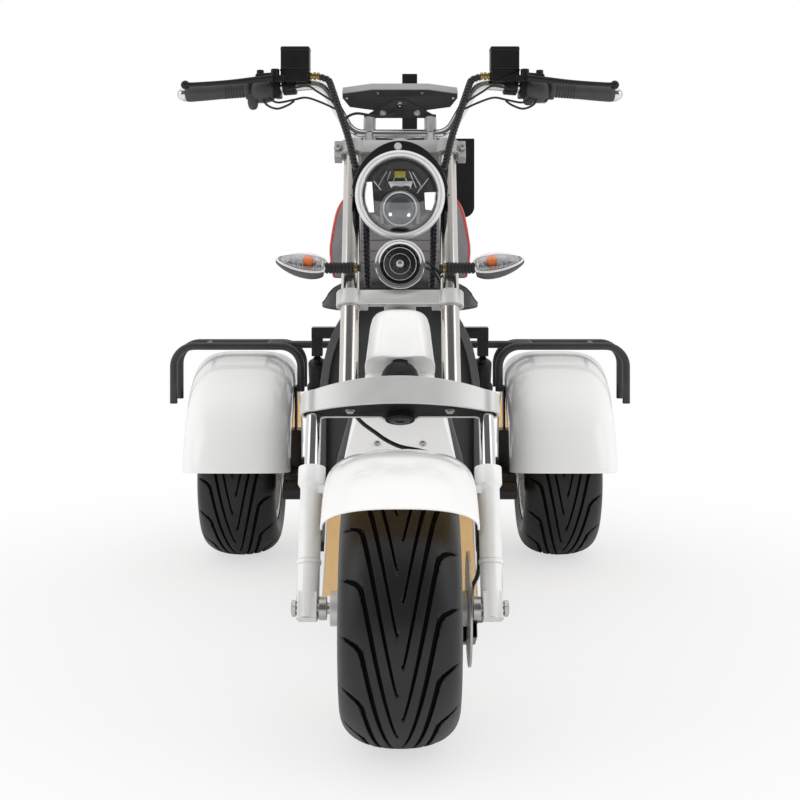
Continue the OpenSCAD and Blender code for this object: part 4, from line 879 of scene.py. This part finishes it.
lensRows = lampRows(lampLook["line"], "above")
lensPart = (lensRows.reshape(-1, 3), gridFaces(*lensRows.shape[:2]))
lens = addPiece("lampLenses", bothSides([lensPart]), "steering", clearLens, ("signal_lenses",),
                sharp=50, closed=False)
lensWall = lens.modifiers.new("wall", "SOLIDIFY")
lensWall.thickness = lampLook["wall"] * mm
lensWall.offset = -1
shellRows = lampRows([(0.2, 0)] + lampLook["line"] + lampLook["tip"], "below")
shellPart = (shellRows.reshape(-1, 3), gridFaces(*shellRows.shape[:2], wrapCols=True))
addPiece("lampShells", bothSides([shellPart]), "steering", greyPlastic, ("signal_shells",), sharp=50)
along, half = lampEdge(0.4)
loop = np.concatenate([np.column_stack([along, -half]), np.column_stack([along, half])[::-1]])
rimPath = smoothPath(lampAt(loop[:, 0], loop[:, 1], lampLook["part"] + 0.2), 160)
addPiece("lampRims", bothSides([tube(rimPath, lampLook["rim"], 12)]), "steering", ringSilver)
along = np.linspace(3, 90, 60)
half = np.interp(along, *lampEdge(2.2))
share = np.linspace(-1, 1, 24)[None]
ridge = np.abs((along / lampLook["ridgePitch"]) % 2 - 1)[:, None] * lampLook["ridgeHigh"] * (1 - share ** 2)
ridge = ridge + lampLook["dishHigh"] * share ** 2  # ridges in the middle, raised sides
dish = lampAt(np.broadcast_to(along[:, None], ridge.shape), half[:, None] * share, lampLook["part"] + 1.2 + ridge)
reflectorPart = (dish.reshape(-1, 3), gridFaces(*ridge.shape))
addPiece("lampReflectors", bothSides([reflectorPart]), "steering", reflectorGrey, closed=False, sharp=20)
bulbAlong, bulbUp, bulbRadius = lampLook["bulb"]
addPiece("lampBulbs", bothSides([lathe(ballLine(bulbRadius), lampAt(bulbAlong, 0, bulbUp), lampUp, 28),
         drum(lampAt(bulbAlong, 0, lampLook["part"] + 0.8), lampUp, 5, 5, 20)]), "steering", amberBulb)
stalkLook = {"from": 93, "behind": 246, "height": 816, "ribs": 8, "step": 6.6, "high": 11.2, "low": 9.4, "end": 9.6,
             "length": 53, "pin": 76, "nut": 90, "block": (97, -52.6, 634), "half": (9, 9.3, 12),
             "blockNut": (97, -61.5, 634)}


def stalkAt(x):
    return trikeAt(x, stalkLook["behind"], stalkLook["height"])


stalkRibs = [(r, k * stalkLook["step"] + d) for k in range(stalkLook["ribs"])
             for r, d in ((stalkLook["high"], 0.8), (stalkLook["high"], 4.2), (stalkLook["low"], 5.0),
                          (stalkLook["low"], 6.2))]
stalkLine = [(0, 0), (stalkLook["end"], 0)] + stalkRibs + [(stalkLook["end"], stalkLook["length"]),
                                                          (0, stalkLook["length"])]
forkAxes = np.stack([axisX, stemBack, stemUp])
addPiece("lampStalks", bothSides([lathe(stalkLine, stalkAt(stalkLook["from"]), axisX, 32),
         drum(stalkAt(stalkLook["pin"]), axisX, 7, 20, 24),
         roundedBox(forkAt(*stalkLook["block"]), stalkLook["half"], 3, forkAxes)]), "steering", rubber,
         ("signal_stalks",))
addPiece("stalkNuts", bothSides([screwHead(stalkAt(stalkLook["nut"]), -axisX, 9.5, 7, True),
         screwHead(forkAt(*stalkLook["blockNut"]), -stemBack, 5.5, 3.5, True)]), "steering", brass)
print("turn lamps made")

# Fork: pinch bolts, tube screws, yoke bolts and the rubber boot on the stem
forkBolts = {"lugWasher": (127, -38.9, 917), "lug": (127, -40.3, 917), "tube": (97, -42.6, 803),
             "yokeWasher": (93, -25, 356.2), "yoke": (93, -25, 354.9)}
boltParts = [drum(forkAt(*forkBolts["lugWasher"]), -stemBack, 8.6, 1.6),
             screwHead(forkAt(*forkBolts["lug"]), -stemBack, 6.6, 5.5),
             screwHead(forkAt(*forkBolts["tube"]), -stemBack, 4, 2.4),
             drum(forkAt(*forkBolts["yokeWasher"]), -stemUp, 8.8, 1.4),
             screwHead(forkAt(*forkBolts["yoke"]), -stemUp, 6.6, 4.4)]
addPiece("forkBolts", bothSides(boltParts), "steering", steel)
beamScrew, beamFacing = trikeAt(46, 349.5, 458), np.array([0, -0.852, -0.524])
addPiece("beamScrews", bothSides([drum(beamScrew, beamFacing, 7.4, 1, start=-0.5),
         screwHead(beamScrew + beamFacing * mm, beamFacing, 5.4, 3)]), "chassis", steel)
bootAt, plugAt = forkAt(0, 0, 409), forkAt(0, 0, 344.9)
bootLine = [(0, 0.4), (37.8, 0.4), (38.2, 4), (37.8, 12), (36.4, 22), (33.2, 32), (27.6, 41), (20, 47), (13, 49.6),
            (0, 50)]
addPiece("stemBoot", [lathe(bootLine, bootAt, stemUp, 64)], "steering", blackPlastic)
plugLine = [(0, 0), (9, 0), (9, -1.6), (15, -1.8), (19, -1), (20, 0.5), (0, 0.5)]
addPiece("stemPlug", [lathe(plugLine, plugAt, stemUp, 40)], "steering", blackPlastic)
print("fork made")

# Body: a dark panel set in the arch, and grey strips beside the white beam
archLook = {"halfWidth": 164.4, "low": 246, "spring": 440, "top": 734.4, "power": 2 / 2.6, "behind": 645.2}
archTurn = np.linspace(0, math.pi, 33)
archLine = np.column_stack([archLook["halfWidth"] * signedPower(np.cos(archTurn), archLook["power"]),
                            archLook["spring"] + (archLook["top"] - archLook["spring"]) * signedPower(
                                np.sin(archTurn), archLook["power"])])
archFeet = [[[side * archLook["halfWidth"], archLook["low"]]] for side in (1, -1)]
archLine = np.concatenate([archFeet[0], archLine, archFeet[1]])
addPiece("archPanel", [slab(archLine, trikeAt(0, archLook["behind"], 0), axisX, axisZ, 1.2, 0.4)], "chassis",
         charcoalPaint)
stripLook = {"points": [(92, 341, 526), (120, 401, 424), (157, 413, 246)], "half": (7, 9)}
stripParts = []
for a, b in zip(stripLook["points"][:-1], stripLook["points"][1:]):
    a, b = trikeAt(*a), trikeAt(*b)
    along = unit(b - a)
    side = unit(np.cross(along, axisY))
    stripParts += [roundedBox((a + b) / 2, (np.linalg.norm(b - a) / 2 / mm + 3, *stripLook["half"]), 3,
                              np.stack([along, side, np.cross(along, side)]))]
addPiece("beamStrips", bothSides(stripParts), "chassis", beamGrey)
print("body trimmed")

# Shocks: a can, a bare rod and a coil between two seats
shockLook = {"top": (212, 1064, 554.1), "low": (212, 1244, 292.3), "coilFrom": 106, "coilTo": 262, "turns": 6.5,
             "coilRadius": 25.4, "wire": 4.4,
             "line": [(0, 0), (10, 0), (10, 14), (22, 16), (24, 18), (24, 94), (29.6, 96), (30, 101), (15, 103),
                      (15, 264), (30, 266), (30, 271), (22, 272), (22, 297), (10, 298), (0, 298)]}
shockTop, shockLow = trikeAt(*shockLook["top"]), trikeAt(*shockLook["low"])
shockAxis = unit(shockLow - shockTop)
shockSide = unit(np.cross(shockAxis, axisX))
spin = np.linspace(0, shockLook["turns"] * 2 * math.pi, int(shockLook["turns"] * 28))
drop = np.linspace(shockLook["coilFrom"], shockLook["coilTo"], len(spin))
coil = shockTop + drop[:, None] * mm * shockAxis + shockLook["coilRadius"] * mm * (
    np.cos(spin)[:, None] * axisX + np.sin(spin)[:, None] * shockSide)
addPiece("shockCans", bothSides([lathe(shockLook["line"], shockTop, shockAxis, 40)]), "chassis", blackPaint,
         ("rear_shocks",))
addPiece("shockCoils", bothSides([tube(coil, shockLook["wire"], 12)]), "chassis", charcoalPaint)
print("shocks made")


# Padded pieces: a loft of oval rings, blown up as cloth and held where it rests
padLook = {"voxel": 6, "pressure": 4, "frames": 20, "cap": 5, "inside": 3}


def padMesh(name, rings, look):
    caps = [np.repeat(rings[k].mean(0)[None], rings.shape[1], 0)[None] for k in (0, -1)]
    rows = np.concatenate([caps[0], rings, caps[1]])
    mesh = bpy.data.meshes.new(name)
    mesh.from_pydata(rows.reshape(-1, 3).tolist(), [], gridFaces(len(rows), rows.shape[1], wrapCols=True).tolist())
    cleaned(mesh)
    mesh.materials.append(look)
    return mesh


def perVertex(mesh, key):  # co or normal of each vertex
    flat = np.empty(len(mesh.vertices) * 3, np.float32)
    mesh.vertices.foreach_get(key, flat)
    return flat.reshape(-1, 3)


def blownUp(piece, voxel, pressure, cap):
    # cloth blown from inside for a few frames; a point moves no further than cap, and not at all where it rests
    scene = bpy.context.scene
    remesh = piece.modifiers.new("remesh", "REMESH")
    remesh.mode = "VOXEL"
    remesh.voxel_size = voxel * mm
    solid = bpy.data.meshes.new_from_object(piece.evaluated_get(bpy.context.evaluated_depsgraph_get()))
    piece.modifiers.clear()
    piece.data = solid
    start, facing = perVertex(solid, "co").astype(float), perVertex(solid, "normal")
    cloth = piece.modifiers.new("cloth", "CLOTH")
    cloth.settings.use_pressure = True
    cloth.settings.uniform_pressure_force = pressure
    cloth.settings.effector_weights.gravity = 0
    for step in range(1, padLook["frames"] + 1):
        scene.frame_set(step)
    full = piece.evaluated_get(bpy.context.evaluated_depsgraph_get()).to_mesh()
    move = perVertex(full, "co").astype(float) - start
    piece.modifiers.clear()
    scene.frame_set(1)
    size = np.linalg.norm(move, axis=1)
    free = np.clip(facing[:, 2] * 2.5 + 1.6, 0, 1)  # nothing where the skin faces down
    move *= (np.minimum(1, cap * mm / np.maximum(size, 1e-9)) * free)[:, None]
    solid.vertices.foreach_set("co", (start + move).astype(np.float32).ravel())
    solid.update()
    smoothShaded(solid)


def addPad(name, rings, look, node):
    piece = linked(name, padMesh(name, rings, look))
    blownUp(piece, padLook["voxel"], padLook["pressure"], padLook["cap"])
    finer = piece.modifiers.new("finer", "SUBSURF")
    finer.levels = finer.render_levels = 1
    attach(piece, "chassis")
    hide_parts(node)
    return piece


def ovalRing(halfWidth, halfHeight, power, count=56):
    t = np.arange(count) * 2 * math.pi / count
    across, up = signedPower(np.cos(t), 2 / power), signedPower(np.sin(t), 2 / power)
    return halfWidth[:, None] * across, halfHeight[:, None] * up


def endRound(place, first, last, reach):  # quarter ellipse over the last stretch at both ends
    u = np.clip(np.minimum(place - first, last - place) / reach, 0, 1)
    return 0.55 + 0.45 * np.sqrt(1 - (1 - u) ** 2)


saddleLook = {"y": [596, 617, 690, 703, 760, 810, 889, 982, 1024],
              "half": [0.4, 0.54, 0.79, 0.86, 0.95, 1, 0.98, 0.94, 0.84],
              "high": [776, 790, 796, 793, 776, 761, 757, 764, 766],
              "edge": [764, 763, 762, 750, 722, 711, 710, 713, 716],
              "lowY": [596, 617, 682, 690, 1024], "low": [756, 752.6, 752.6, 694.6, 694.6],
              "halfWidth": 190, "upper": 1.5, "lower": 4.2, "from": 597.5, "to": 1022, "rows": 70, "ends": 26}
y = np.linspace(saddleLook["from"], saddleLook["to"], saddleLook["rows"])
halfWidth = smoothed(np.interp(y, saddleLook["y"], saddleLook["half"])) * saddleLook["halfWidth"]
low = np.interp(y, saddleLook["lowY"], saddleLook["low"])
high = smoothed(np.interp(y, saddleLook["y"], saddleLook["high"])) - padLook["inside"]
edge = smoothed(np.interp(y, saddleLook["y"], saddleLook["edge"]))
ends = endRound(y, y[0], y[-1], saddleLook["ends"])
upperX, upperZ = ovalRing(halfWidth * ends, (high - edge) * ends, saddleLook["upper"])
lowerX, lowerZ = ovalRing(halfWidth * ends, (edge - low) * ends, saddleLook["lower"])
ringX, ringZ = np.where(upperZ >= 0, upperX, lowerX), np.where(upperZ >= 0, upperZ, lowerZ)
saddle = addPad("saddlePad", trikeAt(ringX, y[:, None], edge[:, None] + ringZ), saddleLeather, "seat_cushion")

backLook = {"z": [758, 775, 833, 870, 905, 940, 970, 988], "half": [0.9, 0.97, 1, 0.975, 0.945, 0.9, 0.8, 0.62],
            "middle": [26, 28, 40, 48, 56, 64, 70, 74], "thick": [30, 38, 44, 42, 40, 40, 36, 26], "halfWidth": 188,
            "behind": 1040, "power": 2.8, "pipeTurn": -14, "from": 759, "to": 987, "rows": 60, "ends": 20}
z = np.linspace(backLook["from"], backLook["to"], backLook["rows"])
halfWidth = smoothed(np.interp(z, backLook["z"], backLook["half"])) * backLook["halfWidth"]
middle = backLook["behind"] + smoothed(np.interp(z, backLook["z"], backLook["middle"]))
thick = smoothed(np.interp(z, backLook["z"], backLook["thick"])) - padLook["inside"]
ends = endRound(z, z[0], z[-1], backLook["ends"])
ringX, ringY = ovalRing(halfWidth, thick * ends, backLook["power"])
backRings = trikeAt(ringX, middle[:, None] + ringY, np.broadcast_to(z[:, None], ringX.shape))
back = addPad("backPad", backRings, backLeather, "seat_back")


def onPad(piece, points, way):  # where lines along one direction meet the pad's skin
    skin = perVertex(piece.data, "co").tolist()
    tree = BVHTree.FromPolygons(skin, [list(p.vertices) for p in piece.data.polygons])
    hits = [tree.ray_cast(Vector(p), Vector(way))[0] for p in points]
    return np.array([h[:] for h in hits if h is not None])


turn = math.radians(backLook["pipeTurn"])
pipeY = middle + thick * ends * signedPower(math.sin(turn), 2 / backLook["power"])
beside, sunk = 400, 0.6  # mm: where the rays start, and how deep the piping lies in the skin
pipePath = smoothPath(onPad(back, trikeAt(beside, pipeY, z)[1:-1:3], -axisX) - axisX * sunk * mm, 120)
addPiece("backPiping", bothSides([tube(pipePath, 3.2, 14)]), "chassis", redPiping)
seamLook = {"heights": [(806, 14), (832, 10), (858, 6)], "reach": 150, "radius": 1.3, "ahead": 900}
seams = []
for height, sag in seamLook["heights"]:
    x = np.linspace(-seamLook["reach"], seamLook["reach"], 41)
    start = trikeAt(x, seamLook["ahead"], height - sag * (x / seamLook["reach"]) ** 2)
    seams += [tube(smoothPath(onPad(back, start, axisY), 120), seamLook["radius"], 10)]
addPiece("backSeams", seams, "chassis", seamThread)
welt = smoothPath(onPad(saddle, trikeAt(beside, y, edge)[3:-3:2], -axisX), 140)
addPiece("saddleWelt", bothSides([tube(welt, 2.0, 12)]), "chassis", saddleLeather)
print("seat made")

# Studio
studio = {"floorSize": 30, "floorColour": 0.93, "floorGlow": 0.62, "fadeFrom": 0.7, "fadeTo": 1.9,
          "skyLow": 1.42, "skyHigh": 0.62, "darkFront": 0.15, "darkFrom": -0.58, "darkTo": -0.14,
          "cameraBack": 2298, "cameraHeight": 911, "lens": 59.0, "sensor": 36, "horizon": 219, "picture": 800}
white = (1, 1, 1, 1)


def makeFloor():
    mesh = bpy.data.meshes.new("floor")
    half = studio["floorSize"] / 2
    mesh.from_pydata([(-half, -half, 0), (half, -half, 0), (half, half, 0), (-half, half, 0)], [], [[0, 1, 2, 3]])
    floor = linked("floor", mesh)
    look = bpy.data.materials.new("pale floor")
    look.use_nodes = True
    tree = look.node_tree
    tree.nodes.clear()
    out = addNode(tree, "OutputMaterial")
    matt = addNode(tree, "BsdfDiffuse", Color=(*[studio["floorColour"]] * 3, 1))
    glow = addNode(tree, "Emission", Color=white)
    place = addNode(tree, "TexCoord")
    reach = addNode(tree, "VectorMath")
    reach.operation = "LENGTH"
    fade = addNode(tree, "MapRange", From_Min=studio["fadeFrom"], From_Max=studio["fadeTo"],
                   To_Min=studio["floorGlow"])
    fade.interpolation_type = "SMOOTHSTEP"
    rays = addNode(tree, "LightPath")
    share = addNode(tree, "Math")
    share.operation = "MULTIPLY"
    mix = addNode(tree, "MixShader")
    join(tree, place, "Object", reach, 0)
    join(tree, reach, "Value", fade, "Value")
    join(tree, fade, "Result", share, 0)
    join(tree, rays, "Is Camera Ray", share, 1)
    join(tree, share, "Value", mix, "Fac")
    join(tree, matt, "BSDF", mix, 1)
    join(tree, glow, "Emission", mix, 2)
    join(tree, mix, "Shader", out, "Surface")
    mesh.materials.append(look)
    floor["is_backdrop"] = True


def makeWorld():
    world = bpy.data.worlds.new("studio")
    bpy.context.scene.world = world
    world.use_nodes = True
    tree = world.node_tree
    tree.nodes.clear()
    out = addNode(tree, "OutputWorld")
    seen = addNode(tree, "Background", Color=white)
    light = addNode(tree, "Background", Color=white)
    mirror = addNode(tree, "Background")
    # a pale surround, dimmer overhead
    dome = addNode(tree, "MapRange", To_Min=studio["skyLow"], To_Max=studio["skyHigh"])
    band = addNode(tree, "MapRange", From_Min=studio["darkFrom"], From_Max=studio["darkTo"],
                   To_Min=studio["darkFront"])
    band.interpolation_type = "SMOOTHSTEP"  # bright metal mirrors a dark studio ahead and pale walls beside it
    place = addNode(tree, "TexCoord")
    split = addNode(tree, "SeparateXYZ")
    rays = addNode(tree, "LightPath")
    direct = addNode(tree, "Math")
    direct.operation = "MAXIMUM"
    first, second = addNode(tree, "MixShader"), addNode(tree, "MixShader")
    join(tree, place, "Generated", split, "Vector")
    join(tree, split, "Z", dome, "Value")
    join(tree, dome, "Result", light, "Strength")
    join(tree, split, "Y", band, "Value")
    join(tree, band, "Result", mirror, "Strength")
    join(tree, rays, "Is Glossy Ray", first, "Fac")
    join(tree, light, "Background", first, 1)
    join(tree, mirror, "Background", first, 2)
    join(tree, rays, "Is Camera Ray", direct, 0)
    join(tree, rays, "Is Transmission Ray", direct, 1)
    join(tree, direct, "Value", second, "Fac")
    join(tree, first, "Shader", second, 1)
    join(tree, seen, "Background", second, 2)
    join(tree, second, "Shader", out, "Surface")


def softbox(name, at, target, size, power):
    lamp = bpy.data.lights.new(name, "AREA")
    lamp.shape = "RECTANGLE"
    lamp.size, lamp.size_y = size
    lamp.energy = power
    box = linked(name, lamp)
    box.location = at
    box.rotation_euler = (Vector(target) - Vector(at)).to_track_quat("-Z", "Y").to_euler()


def makeCamera():
    lens = bpy.data.cameras.new("camera")
    lens.lens = studio["lens"]
    lens.sensor_width = studio["sensor"]
    lens.shift_y = (studio["horizon"] - studio["picture"] / 2) / studio["picture"]
    camera = linked("camera", lens)
    camera.location = (0, frontAxle[1] - studio["cameraBack"] * mm, studio["cameraHeight"] * mm)
    camera.rotation_euler = (math.pi / 2, 0, 0)
    bpy.context.scene.camera = camera


makeFloor()
makeWorld()
softbox("top box", (0.0, -0.6, 3.4), (0, 0, 0.4), (3.0, 3.0), 8)
for label, side in (("left box", -1), ("right box", 1)):
    softbox(label, (side * 2.8, -1.8, 1.9), (0, -0.2, 0.6), (1.4, 2.4), 11)
makeCamera()
bpy.context.scene.view_settings.view_transform = "Standard"
print("studio made")

low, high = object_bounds()
